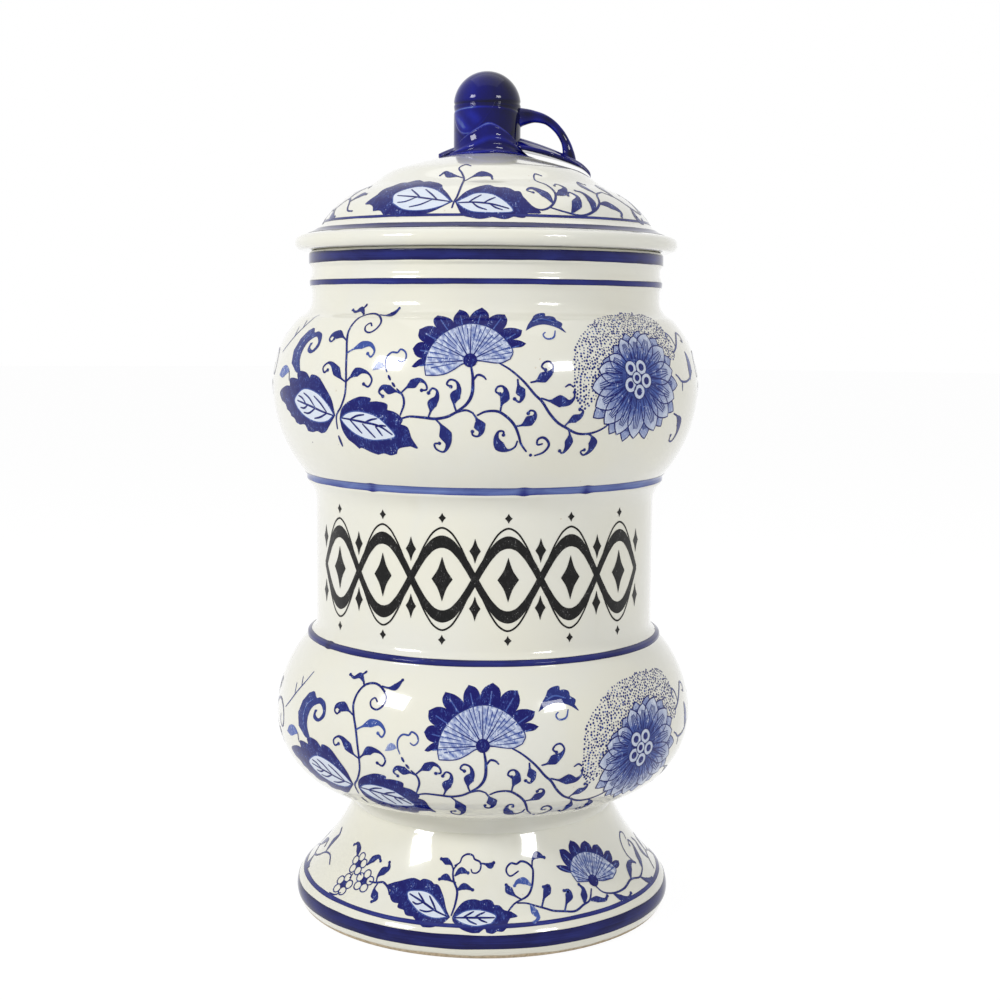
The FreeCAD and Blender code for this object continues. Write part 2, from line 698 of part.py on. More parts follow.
def main():
    """Makes every sub-part and writes it."""
    drawing = Drawing()
    make_pedestal_foot(drawing)
    make_jar_body(drawing)
    make_lid_dome(drawing)
    make_locating_ring(drawing)
    make_bud_core(drawing)
    make_bud_cap(drawing)
    make_petals(drawing)
    make_calyx(drawing)
    for label in ("leaf_right", "leaf_left", "leaf_back"):
        make_leaf(drawing, label)
    make_stem_loop(drawing)
    drawing.write()


main()
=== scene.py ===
"""Footed biscuit jar of white glazed pottery, with printed blue flowers, painted lines and a rosebud knob.

The drawing of every ornament is made flat, in millimetres, and is then laid on the turned surfaces.
"""

import logging
import math
from dataclasses import dataclass, field
from enum import Enum
from typing import Callable, Iterable, Optional, Sequence, Union

import bpy
import numpy as np
from mathutils import Euler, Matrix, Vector, geometry


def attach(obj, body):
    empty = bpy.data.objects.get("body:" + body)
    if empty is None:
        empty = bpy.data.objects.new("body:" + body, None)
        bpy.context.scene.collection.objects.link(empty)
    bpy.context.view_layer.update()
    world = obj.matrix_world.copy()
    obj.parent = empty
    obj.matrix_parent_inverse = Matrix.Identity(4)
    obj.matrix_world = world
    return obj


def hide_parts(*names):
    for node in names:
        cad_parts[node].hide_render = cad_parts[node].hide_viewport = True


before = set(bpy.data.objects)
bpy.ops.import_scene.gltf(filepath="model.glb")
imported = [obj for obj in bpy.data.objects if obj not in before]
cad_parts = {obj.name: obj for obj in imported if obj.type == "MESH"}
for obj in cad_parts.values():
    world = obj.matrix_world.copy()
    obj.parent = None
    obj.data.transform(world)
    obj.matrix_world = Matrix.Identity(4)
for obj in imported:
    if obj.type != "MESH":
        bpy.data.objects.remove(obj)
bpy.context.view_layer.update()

LOG = logging.getLogger("biscuit_jar")
MM = 0.001
TURN = 2.0 * math.pi
NUMBER = Union[int, float]
PAIR = tuple[float, float]
COLOUR = tuple[float, float, float]


class Body(Enum):
    """The two bodies that come apart in the hand."""

    JAR = "jar"
    LID = "lid"


class Slot(Enum):
    """The record's material slots."""

    WHITE = "white_glaze"
    COBALT = "cobalt_glaze"
    PRINT = "cobalt_print"
    CLAY = "bare_clay"


class Signal:
    """A number that changes over the surface. Arithmetic on it adds Math nodes."""

    def __init__(self, recipe: "Recipe", socket: bpy.types.NodeSocket) -> None:
        """Keeps the socket and the recipe that it belongs to."""
        self.recipe = recipe
        self.socket = socket

    def _math(self, operation: str, first: object, second: object) -> "Signal":
        """Adds one Math node."""
        return self.recipe.add("ShaderNodeMath", {"operation": operation}, {0: first, 1: second})

    def __add__(self, other: object) -> "Signal":
        """Adds a number or a signal."""
        return self._math("ADD", self, other)

    def __sub__(self, other: object) -> "Signal":
        """Takes a number or a signal away."""
        return self._math("SUBTRACT", self, other)

    def __rsub__(self, other: object) -> "Signal":
        """Takes the signal from a number."""
        return self._math("SUBTRACT", other, self)

    def __mul__(self, other: object) -> "Signal":
        """Multiplies by a number or a signal."""
        return self._math("MULTIPLY", self, other)

    def __truediv__(self, other: object) -> "Signal":
        """Divides by a number or a signal."""
        return self._math("DIVIDE", self, other)

    def __pow__(self, other: object) -> "Signal":
        """Raises to a power."""
        return self._math("POWER", self, other)

    __radd__ = __add__
    __rmul__ = __mul__

    def within(self, low: float, high: float) -> "Signal":
        """Runs smoothly from 0 at low to 1 at high."""
        settings = {"interpolation_type": "SMOOTHSTEP"}
        return self.recipe.add("ShaderNodeMapRange", settings, {"Value": self, "From Min": low, "From Max": high})


class Recipe:
    """The node tree of one glaze or print, around a Principled shader."""

    def __init__(self, name: str, **constants: object) -> None:
        """Starts a material.

        Args:
            name: the material's name.
            constants: values of the shader's own sockets, with _ for the spaces in their names.
        """
        self.material = bpy.data.materials.new(name)
        self.material.use_nodes = True
        self.tree = self.material.node_tree
        self.shader = self.tree.nodes["Principled BSDF"]
        for key, value in constants.items():
            self.shader.inputs[key.replace("_", " ")].default_value = value

    def add(self, kind: str, settings: dict, inputs: dict, output: Union[int, str] = 0) -> Signal:
        """Adds one node.

        Args:
            kind: the node's type.
            settings: its own settings, set first; stops sets a ramp's stops.
            inputs: values, colours or signals by the input's name or place.
            output: the output wanted.

        Returns:
            The node's output.
        """
        node = self.tree.nodes.new(kind)
        for key, value in settings.items():
            if key != "stops":
                setattr(node, key, value)
                continue
            elements = node.color_ramp.elements
            while len(elements) < len(value):
                elements.new(1.0)
            for element, (place, colour) in zip(elements, value):
                element.position = place
                element.color = (*colour, 1.0)
        for key, value in inputs.items():
            if isinstance(value, Signal):
                self.tree.links.new(value.socket, node.inputs[key])
            elif isinstance(value, tuple) and len(node.inputs[key].default_value) == 4:
                node.inputs[key].default_value = (*value, 1.0)
            else:
                node.inputs[key].default_value = value
        return Signal(self, node.outputs[output])

    def place(self, stretch: tuple[float, float, float] = (1.0, 1.0, 1.0)) -> Signal:
        """Returns the point on the object, stretched along its axes."""
        point = self.add("ShaderNodeTexCoord", {}, {}, "Object")
        return self.add("ShaderNodeMapping", {}, {"Vector": point, "Scale": stretch})

    def drawn(self, stretch: tuple[float, float, float]) -> Signal:
        """Returns the point on the flat drawing, in millimetres, stretched."""
        point = self.add("ShaderNodeUVMap", {"uv_map": "drawing"}, {})
        return self.add("ShaderNodeMapping", {}, {"Vector": point, "Scale": stretch})

    def height(self) -> Signal:
        """Returns the height over the table in metres."""
        point = self.add("ShaderNodeTexCoord", {}, {}, "Object")
        return self.add("ShaderNodeSeparateXYZ", {}, {"Vector": point}, "Z")

    def mark(self, name: str) -> Signal:
        """Returns a value that the mesh carries at its points."""
        return self.add("ShaderNodeAttribute", {"attribute_name": name}, {}, "Fac")

    def noise(self, point: Signal, scale: float, detail: float = 3.0, twist: float = 0.0) -> Signal:
        """Returns cloudy noise from 0 to 1."""
        inputs = {"Vector": point, "Scale": scale, "Detail": detail, "Distortion": twist}
        return self.add("ShaderNodeTexNoise", {}, inputs, "Fac")

    def flecks(self, point: Signal, scale: float, size: float) -> Signal:
        """Returns 1 at scattered round flecks and 0 elsewhere."""
        spot = self.add("ShaderNodeTexVoronoi", {}, {"Vector": point, "Scale": scale}, "Distance")
        return 1.0 - spot.within(size * 0.6, size)

    def blend(self, amount: Signal, first: object, second: object) -> Signal:
        """Mixes two colours."""
        inputs = {0: amount, 6: first, 7: second}
        return self.add("ShaderNodeMix", {"data_type": "RGBA"}, inputs, 2)

    def ramp(self, value: Signal, stops: Sequence[tuple[float, COLOUR]]) -> Signal:
        """Turns a value into a colour."""
        return self.add("ShaderNodeValToRGB", {"stops": stops}, {0: value})

    def feed(self, name: str, signal: Signal) -> None:
        """Links a signal to one of the shader's sockets."""
        self.tree.links.new(signal.socket, self.shader.inputs[name])

    def relief(self, *layers: tuple[Signal, float]) -> None:
        """Feeds the shader a normal of several heights, each with its depth in metres."""
        below = {}
        for value, depth in layers:
            normal = self.add("ShaderNodeBump", {}, {"Height": value, "Distance": depth, "Strength": 1.0, **below})
            below = {"Normal": normal}
        self.feed("Normal", below["Normal"])


@dataclass(frozen=True)
class WhiteGlaze:
    """Warm white tin-like glaze over cast clay, with an unglazed edge where a piece stands."""

    name: str = "white_glaze"
    colour: COLOUR = (0.80, 0.785, 0.675)
    thick: COLOUR = (0.785, 0.78, 0.705)
    pooled: COLOUR = (0.72, 0.70, 0.585)
    clay: COLOUR = (0.62, 0.51, 0.36)
    clay_dark: COLOUR = (0.42, 0.33, 0.22)
    clay_top: float = 0.0

    def make(self) -> bpy.types.Material:
        """Returns the material."""
        recipe = Recipe(self.name, Coat_Roughness=0.03, Coat_IOR=1.45, Specular_IOR_Level=0.2)
        point = recipe.place()
        cloud = recipe.noise(point, 22.0, 4.0, 0.6)
        colour = recipe.blend(cloud.within(0.35, 0.7), self.colour, self.thick)
        drips = recipe.noise(recipe.place((1.0, 1.0, 0.35)), 60.0, 2.0).within(0.62, 0.82)
        colour = recipe.blend(drips * 0.35, colour, self.pooled)
        pinholes = recipe.flecks(point, 130.0, 0.045)
        colour = recipe.blend(pinholes * 0.55, colour, self.clay)
        specks = recipe.flecks(recipe.place((1.3, 0.9, 1.1)), 47.0, 0.022)
        colour = recipe.blend(specks * 0.7, colour, (0.10, 0.10, 0.16))
        ripple = recipe.noise(point, 38.0, 1.0)
        peel = recipe.noise(point, 420.0, 2.0)
        gloss = 0.10 + 0.08 * cloud
        clay = 0.0 * cloud
        if self.clay_top > 0.0:
            wobble = (recipe.noise(point, 45.0, 3.0) - 0.5) * (self.clay_top * 1.3)
            clay = 1.0 - (recipe.height() + wobble).within(self.clay_top * 0.8, self.clay_top * 1.15)
            grain = recipe.noise(point, 900.0, 4.0)
            colour = recipe.blend(clay, colour, recipe.blend(grain.within(0.35, 0.75), self.clay, self.clay_dark))
            gloss = gloss + clay * (0.55 + 0.2 * grain)
            recipe.feed("Coat Weight", 1.0 - clay)
            recipe.relief((ripple, 0.00022), (peel, 0.000012), (grain * clay, 0.00025), (1.0 - clay, 0.0003))
        else:
            recipe.shader.inputs["Coat Weight"].default_value = 1.0
            recipe.relief((ripple, 0.00022), (peel, 0.000012), (1.0 - pinholes, 0.00008))
        recipe.feed("Base Color", colour)
        recipe.feed("Roughness", gloss)
        return recipe.material


@dataclass(frozen=True)
class PrintedInk:
    """Transfer print under the glaze, from its darkest to its palest tone, with a broken, scratchy grain."""

    name: str
    dark: COLOUR
    middle: COLOUR
    pale: COLOUR
    scratch: float = 0.5
    worn: float = 0.5

    def make(self) -> bpy.types.Material:
        """Returns the material, which reads the tone that the drawing carries."""
        recipe = Recipe(self.name, Coat_Weight=1.0, Coat_Roughness=0.03, Coat_IOR=1.3, Specular_IOR_Level=0.0)
        tone = recipe.mark("tone")
        hair = recipe.noise(recipe.drawn((1.0, 0.28, 1.0)), 2.1, 5.0, 1.6)
        cloud = recipe.noise(recipe.drawn((1.0, 1.0, 1.0)), 0.33, 3.0, 0.4)
        spots = recipe.flecks(recipe.drawn((1.0, 1.0, 1.0)), 1.3, 0.21)
        lift = hair.within(0.52, 0.70) * self.scratch * cloud.within(0.34, 0.66)
        tone = tone + lift + spots * cloud.within(0.46, 0.62) * self.worn + (cloud - 0.5) * 0.12
        stops = [(0.0, self.dark), (0.5, self.middle), (1.0, self.pale)]
        recipe.feed("Base Color", recipe.ramp(tone, stops))
        recipe.feed("Roughness", 0.12 + 0.1 * cloud)
        point = recipe.place()
        recipe.relief((recipe.noise(point, 38.0, 1.0), 0.00022), (recipe.noise(point, 420.0, 2.0), 0.000012))
        return recipe.material


@dataclass(frozen=True)
class BrushedLine:
    """A line painted on the turning wheel: thin in its middle, dark at its edges, streaked along its length."""

    name: str
    thin: COLOUR
    full: COLOUR
    pooled: COLOUR

    def make(self) -> bpy.types.Material:
        """Returns the material, which reads the tone that the line carries."""
        recipe = Recipe(self.name, Coat_Weight=1.0, Coat_Roughness=0.03, Coat_IOR=1.3, Specular_IOR_Level=0.0)
        streak = recipe.noise(recipe.drawn((0.03, 2.6, 1.0)), 1.0, 3.0)
        cloud = recipe.noise(recipe.drawn((0.08, 0.25, 1.0)), 1.0, 4.0, 0.5)
        tone = recipe.mark("tone") + (streak - 0.5) * 0.45 + (cloud - 0.5) * 0.7
        recipe.feed("Base Color", recipe.ramp(tone, [(0.0, self.pooled), (0.45, self.full), (1.0, self.thin)]))
        recipe.feed("Roughness", 0.1 + 0.12 * cloud)
        point = recipe.place()
        recipe.relief((recipe.noise(point, 38.0, 1.0), 0.00022), (recipe.noise(point, 420.0, 2.0), 0.000012))
        return recipe.material


@dataclass(frozen=True)
class CobaltGlaze:
    """Deep cobalt glaze that runs off the ridges and pools in the hollows."""

    name: str = "cobalt_glaze"
    pooled: COLOUR = (0.001, 0.001, 0.022)
    full: COLOUR = (0.002, 0.002, 0.13)
    bright: COLOUR = (0.008, 0.014, 0.30)
    ridge: COLOUR = (0.16, 0.24, 0.48)

    def make(self) -> bpy.types.Material:
        """Returns the material, which reads the tone on the mesh: how high each point stands over its surroundings,
        with painted sheen and painted shade in it.
        """
        recipe = Recipe(self.name, Coat_Weight=1.0, Coat_Roughness=0.03, Coat_IOR=1.3, Specular_IOR_Level=0.0)
        point = recipe.place()
        runs = recipe.noise(recipe.place((1.0, 1.0, 0.4)), 260.0, 4.0, 0.8)
        cloud = recipe.noise(point, 75.0, 3.0, 0.5)
        # Besides the glaze's breaking and pooling, the tone holds a painted sheen on the knob's left and painted shade
        # on its right, so the bright and ridge colours partly paint highlight and the pooled colour partly paints
        # shade.
        height = recipe.mark("tone") + (runs - 0.5) * 0.22 + (cloud - 0.5) * 0.45
        stops = [(0.0, self.pooled), (0.42, self.full), (0.74, self.bright), (1.0, self.ridge)]
        recipe.feed("Base Color", recipe.ramp(height, stops))
        recipe.feed("Roughness", 0.09 + 0.12 * runs)
        recipe.relief((recipe.noise(point, 190.0, 2.0), 0.00018), (recipe.noise(point, 900.0, 2.0), 0.00001))
        return recipe.material


@dataclass(frozen=True)
class PaleBackdrop:
    """Plain pale floor that the camera and reflections see as white, and that keeps the object's shadow."""

    name: str = "pale_floor"
    colour: COLOUR = (0.93, 0.93, 0.93)
    glow: float = 1.08
    share: float = 0.86

    def make(self) -> bpy.types.Material:
        """Returns the material."""
        recipe = Recipe(self.name, Roughness=0.9)
        tree = recipe.tree
        grain = recipe.noise(recipe.place(), 3.0, 2.0)
        recipe.feed("Base Color", recipe.blend(grain, self.colour, (0.9, 0.9, 0.9)))
        seen = recipe.add("ShaderNodeLightPath", {}, {}, "Is Camera Ray")
        for ray in ("Is Glossy Ray", "Is Transmission Ray"):
            seen = recipe.add("ShaderNodeMath", {"operation": "MAXIMUM"},
                              {0: seen, 1: recipe.add("ShaderNodeLightPath", {}, {}, ray)})
        white = recipe.add("ShaderNodeEmission", {}, {"Color": (1.0, 1.0, 1.0), "Strength": self.glow})
        mix = tree.nodes.new("ShaderNodeMixShader")
        tree.links.new((seen * self.share).socket, mix.inputs[0])
        tree.links.new(recipe.shader.outputs[0], mix.inputs[1])
        tree.links.new(white.socket, mix.inputs[2])
        tree.links.new(mix.outputs[0], tree.nodes["Material Output"].inputs["Surface"])
        return recipe.material


class Outline:
    """A profile in millimetres: radius and height, drawn with straight runs and arcs."""

    STEP = 0.2
    SOFT = 0.45

    def __init__(self, radius: float, height: float) -> None:
        """Starts at a point."""
        self.points: list[PAIR] = [(radius, height)]

    def line(self, *stops: PAIR) -> "Outline":
        """Adds straight runs to these points."""
        for stop in stops:
            start = np.array(self.points[-1])
            end = np.array(stop)
            count = max(1, math.ceil(float(np.linalg.norm(end - start)) / self.STEP))
            shares = np.arange(1, count + 1)[:, None] / count
            self.points += [tuple(point) for point in start + (end - start) * shares]
        return self

    def arc(self, end: PAIR, radius: float) -> "Outline":
        """Adds an arc.

        Args:
            end: where it ends.
            radius: its radius, positive where its centre lies to the left of the way it goes.

        Returns:
            The outline.
        """
        start = np.array(self.points[-1])
        span = np.array(end) - start
        length = float(np.linalg.norm(span))
        left = np.array((-span[1], span[0])) / length
        reach = math.sqrt(max(radius * radius - length * length / 4.0, 0.0))
        centre = start + span / 2.0 + left * math.copysign(reach, radius)
        first = math.atan2(*(start - centre)[::-1])
        turn = 2.0 * math.asin(min(1.0, length / (2.0 * abs(radius)))) * math.copysign(1.0, radius)
        count = max(2, math.ceil(abs(radius * turn) / self.STEP))
        for share in np.arange(1, count + 1) / count:
            angle = first + turn * share
            spot = centre + abs(radius) * np.array((math.cos(angle), math.sin(angle)))
            self.points.append((float(spot[0]), float(spot[1])))
        return self

    def swell(self, end: PAIR, side: int) -> "Outline":
        """Adds an arc that is upright at one of its ends.

        Args:
            end: where it ends.
            side: 1 where it bulges outwards on the way up, -1 where it is hollow.

        Returns:
            The outline.
        """
        across = abs(end[0] - self.points[-1][0])
        along = abs(end[1] - self.points[-1][1])
        return self.arc(end, side * (across * across + along * along) / (2.0 * across))

    def softened(self, longest: float, closed: bool = False) -> np.ndarray:
        """Rounds the corners as glaze does and thins the points.

        Args:
            longest: the most between two points, in millimetres.
            closed: whether the outline is a loop.

        Returns:
            The points, one per row.
        """
        dense = np.array(self.points)
        if closed and np.allclose(dense[0], dense[-1]):
            dense = dense[:-1]
        reach = int(3 * self.SOFT / self.STEP)
        offsets = np.arange(-reach, reach + 1)
        weights = np.exp(-0.5 * (offsets * self.STEP / self.SOFT) ** 2)
        mode = "wrap" if closed else "edge"
        padded = np.pad(dense, ((reach, reach), (0, 0)), mode=mode)
        smooth = sum(w * padded[reach + o:reach + o + len(dense)] for o, w in zip(offsets, weights / weights.sum()))
        if not closed:
            smooth[0] = dense[0]
            smooth[-1] = dense[-1]
        kept = [smooth[0]]
        run = 0.0
        bend = 0.0
        for before, here, after in zip(smooth[:-2], smooth[1:-1], smooth[2:]):
            run += float(np.linalg.norm(here - before))
            first = here - before
            second = after - here
            bend += abs(math.atan2(first[0] * second[1] - first[1] * second[0], float(first @ second)))
            if run >= longest or bend > 0.12:
                kept.append(here)
                run = 0.0
                bend = 0.0
        kept.append(smooth[-1])
        return np.array(kept)


def ring_solid(
    name: str,
    rings: np.ndarray,
    material: bpy.types.Material,
    loop: bool = False,
    tones: Optional[np.ndarray] = None,
) -> bpy.types.Object:
    """Makes a closed solid from rings of points.

    Args:
        name: the piece's name.
        rings: the points in metres, with one ring after the other along the first axis.
        material: its material.
        loop: whether the last ring joins the first; otherwise each end closes in a point.
        tones: a value for each point, kept on the mesh as tone.

    Returns:
        The object.
    """
    count, around = rings.shape[:2]
    points = rings.reshape(-1, 3)
    values = None if tones is None else tones.reshape(-1)
    first = np.arange(count if loop else count - 1)[:, None] * around
    spots = np.arange(around)[None, :]
    following = (spots + 1) % around
    above = (first + around) % (count * around)
    quads = np.stack([first + spots, first + following, above + following, above + spots], axis=-1).reshape(-1, 4)
    faces = quads.tolist()
    if not loop:
        poles = np.array([rings[0].mean(axis=0), rings[-1].mean(axis=0)])
        points = np.vstack([points, poles])
        low = count * around
        last = (count - 1) * around
        for spot in range(around):
            after = (spot + 1) % around
            faces.append([low, after, spot])
            faces.append([low + 1, last + spot, last + after])
        if values is not None:
            values = np.append(values, [values[:around].mean(), values[-around:].mean()])
    corners = points[[face[:3] for face in faces]]
    volume = np.einsum("ij,ij->i", corners[:, 0], np.cross(corners[:, 1], corners[:, 2])).sum()
    if volume < 0.0:
        faces = [face[::-1] for face in faces]
    return mesh_piece(name, points, faces, material, values)


def mesh_piece(
    name: str,
    points: np.ndarray,
    faces: list[list[int]],
    material: bpy.types.Material,
    tones: Optional[np.ndarray] = None,
) -> bpy.types.Object:
    """Makes a smooth-shaded object of points and faces."""
    mesh = bpy.data.meshes.new(name)
    mesh.from_pydata(points.tolist(), [], faces)
    if material:
        mesh.materials.append(material)
    if tones is not None:
        mesh.attributes.new("tone", "FLOAT", "POINT").data.foreach_set("value", tones.astype(np.float32))
    mesh.shade_smooth()
    mesh.update()
    piece = bpy.data.objects.new(name, mesh)
    bpy.context.collection.objects.link(piece)
    return piece


def turned(
    name: str,
    outline: np.ndarray,
    material: bpy.types.Material,
    loop: bool,
    around: int = 240,
) -> bpy.types.Object:
    """Turns an outline in millimetres about the upright axis into a closed solid."""
    angles = np.arange(around) * TURN / around
    radii = outline[:, 0][:, None] * MM
    heights = np.broadcast_to(outline[:, 1][:, None] * MM, (len(outline), around))
    rings = np.stack([radii * np.cos(angles), radii * np.sin(angles), heights], axis=-1)
    return ring_solid(name, rings, material, loop)


def settle(piece: bpy.types.Object, body: Body, slot: Slot, *nodes: str) -> None:
    """Puts a finished piece on its body and hides the nodes that it stands for."""
    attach(piece, body.value)
    if nodes:
        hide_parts(*nodes)
    LOG.info("%s: %d faces on %s", piece.name, len(piece.data.polygons), body.value)


def ease(low: float, high: float, value: np.ndarray) -> np.ndarray:
    """Runs smoothly from 0 at low to 1 at high."""
    share = np.clip((value - low) / (high - low), 0.0, 1.0)
    return share * share * (3.0 - 2.0 * share)


@dataclass
class Pot:
    """The cast jar on its turned foot, in millimetres."""

    waist: float = 47.7
    band: float = 61.0
    ledge: float = 64.3
    lower_belly: PAIR = (75.4, 70.7)
    upper_belly: PAIR = (76.34, 189.5)
    neck: float = 62.2
    collar: PAIR = (63.2, 235.3)
    mouth: float = 56.4
    foot_lip: PAIR = (68.7, 5.6)
    foot_shoulder: PAIR = (66.5, 10.8)
    foot_sweep: float = 74.0
    step: float = 2.0
    glaze: WhiteGlaze = field(default_factory=WhiteGlaze)
    foot_glaze: WhiteGlaze = field(default_factory=lambda: WhiteGlaze(name="white_glaze_on_foot", clay_top=0.0016))

    def outside(self) -> Outline:
        """Returns the jar's outline from the waist up to the rim."""
        way = Outline(self.waist, 37.0).line((self.waist, 42.5), (48.9, 43.7))
        way.swell(self.lower_belly, 1).swell((self.ledge, 98.8), 1).line((self.ledge, 100.4))
        way.swell((self.band, 104.6), -1).line((self.band, 148.0)).swell((self.ledge, 155.4), -1)
        way.line((self.ledge, 157.6)).swell(self.upper_belly, 1).swell((66.6, 213.3), 1)
        way.swell((self.neck, 219.6), -1).line((self.neck, 223.0)).arc((self.neck, 228.0), 4.3)
        way.line((self.neck, 230.6), (self.collar[0], 231.6), self.collar)
        way.arc((62.0, 236.5), 1.2)
        return way

    def foot_outside(self) -> Outline:
        """Returns the foot's outline from its resting ring up to the waist."""
        way = Outline(66.5, 0.0).arc(self.foot_lip, 8.5).arc(self.foot_shoulder, 9.0)
        way.arc((self.waist, 37.0), -self.foot_sweep)
        return way

    def make_body(self) -> bpy.types.Object:
        """Makes the jar with its inside."""
        way = Outline(0.0, 36.4).line((self.waist - 0.3, 36.4), (self.waist, 37.4))
        way.points += [point for point in self.outside().points if point[1] > 37.4]
        way.line((self.mouth, 236.5), (self.mouth, 219.6))
        way.line((61.1, 213.3)).arc((71.0, 189.5), -33.0).arc((58.8, 157.6), -47.8).line((55.5, 148.0), (55.5, 104.6))
        way.line((58.8, 98.8)).arc((69.9, 70.7), -41.0).arc((48.9, 49.2), -28.0).line((42.2, 49.2), (42.2, 42.0), (0.0, 42.0))
        piece = turned("jar_pot", way.softened(self.step), self.glaze.make(), False)
        settle(piece, Body.JAR, Slot.WHITE, "jar_body")
        return piece

    def make_foot(self) -> bpy.types.Object:
        """Makes the hollow foot."""
        way = self.foot_outside()
        way.line((self.waist - 0.4, 37.6), (42.2, 37.6), (42.2, 37.0)).arc((61.0, 10.8), self.foot_sweep).line((61.5, 0.0), (66.5, 0.0))
        piece = turned("jar_foot", way.softened(self.step, True), self.foot_glaze.make(), True)
        settle(piece, Body.JAR, Slot.WHITE, "pedestal_foot")
        return piece


@dataclass
class Lid:
    """The domed lid with the ring that drops into the mouth, in millimetres."""

    brim: PAIR = (65.5, 236.5)
    lip: PAIR = (68.2, 239.2)
    slope: PAIR = (58.8, 245.5)
    shoulder: PAIR = (43.4, 258.5)
    apex: float = 267.8
    heap: float = 2.2
    tent: float = 2.5
    vent: float = 1.6
    ring_outside: float = 55.0
    ring_inside: float = 50.8
    ring_bottom: float = 226.5
    step: float = 1.4
    glaze: WhiteGlaze = field(default_factory=lambda: WhiteGlaze(name="white_glaze_on_lid"))

    def crown_radius(self) -> float:
        """Returns the radius of the round crown."""
        reach = self.shoulder[0]
        rise = self.apex - self.shoulder[1]
        return (reach * reach + rise * rise) / (2.0 * rise)

    def crown_level(self, reach: np.ndarray) -> np.ndarray:
        """Returns the height of the crown's surface at this reach from the axis."""
        radius = self.crown_radius()
        tent = self.tent * (1.0 - ease(33.0, self.shoulder[0], reach))
        heap = self.heap * np.exp(-(reach / 15.0) ** 2)
        return self.apex - radius + np.sqrt(radius * radius - reach * reach) + heap + tent

    def outside(self) -> Outline:
        """Returns the lid's outline from the brim up to the vent under the knob."""
        way = Outline(*self.brim).arc(self.lip, 2.7).arc((65.5, 241.9), 2.7).arc(self.slope, -14.0)
        way.arc(self.shoulder, 30.0)
        reaches = np.linspace(self.shoulder[0], self.vent, 60)[1:]
        return way.line(*zip(reaches.tolist(), self.crown_level(reaches).tolist()))

    def make_dome(self) -> bpy.types.Object:
        """Makes the hollow dome."""
        way = self.outside()
        way.line((self.vent, 263.2)).arc((40.0, 255.1), -101.3).arc((self.ring_inside, 242.1), -30.0)
        way.line((self.ring_inside, 236.5), self.brim)
        piece = turned("lid_shell", way.softened(self.step, True), self.glaze.make(), True)
        settle(piece, Body.LID, Slot.WHITE, "lid_dome")
        return piece

    def make_ring(self) -> bpy.types.Object:
        """Makes the ring that keeps the lid in the mouth."""
        inner = self.ring_inside
        outer = self.ring_outside
        low = self.ring_bottom
        way = Outline(outer, 236.5).line((outer, low + 1.2)).arc((outer - 1.2, low), -1.2).line((inner + 1.2, low))
        way.arc((inner, low + 1.2), -1.2).line((inner, 236.5), (outer, 236.5))
        piece = turned("lid_seat_ring", way.softened(self.step, True), self.glaze.make(), True)
        settle(piece, Body.LID, Slot.WHITE, "locating_ring")
        return piece


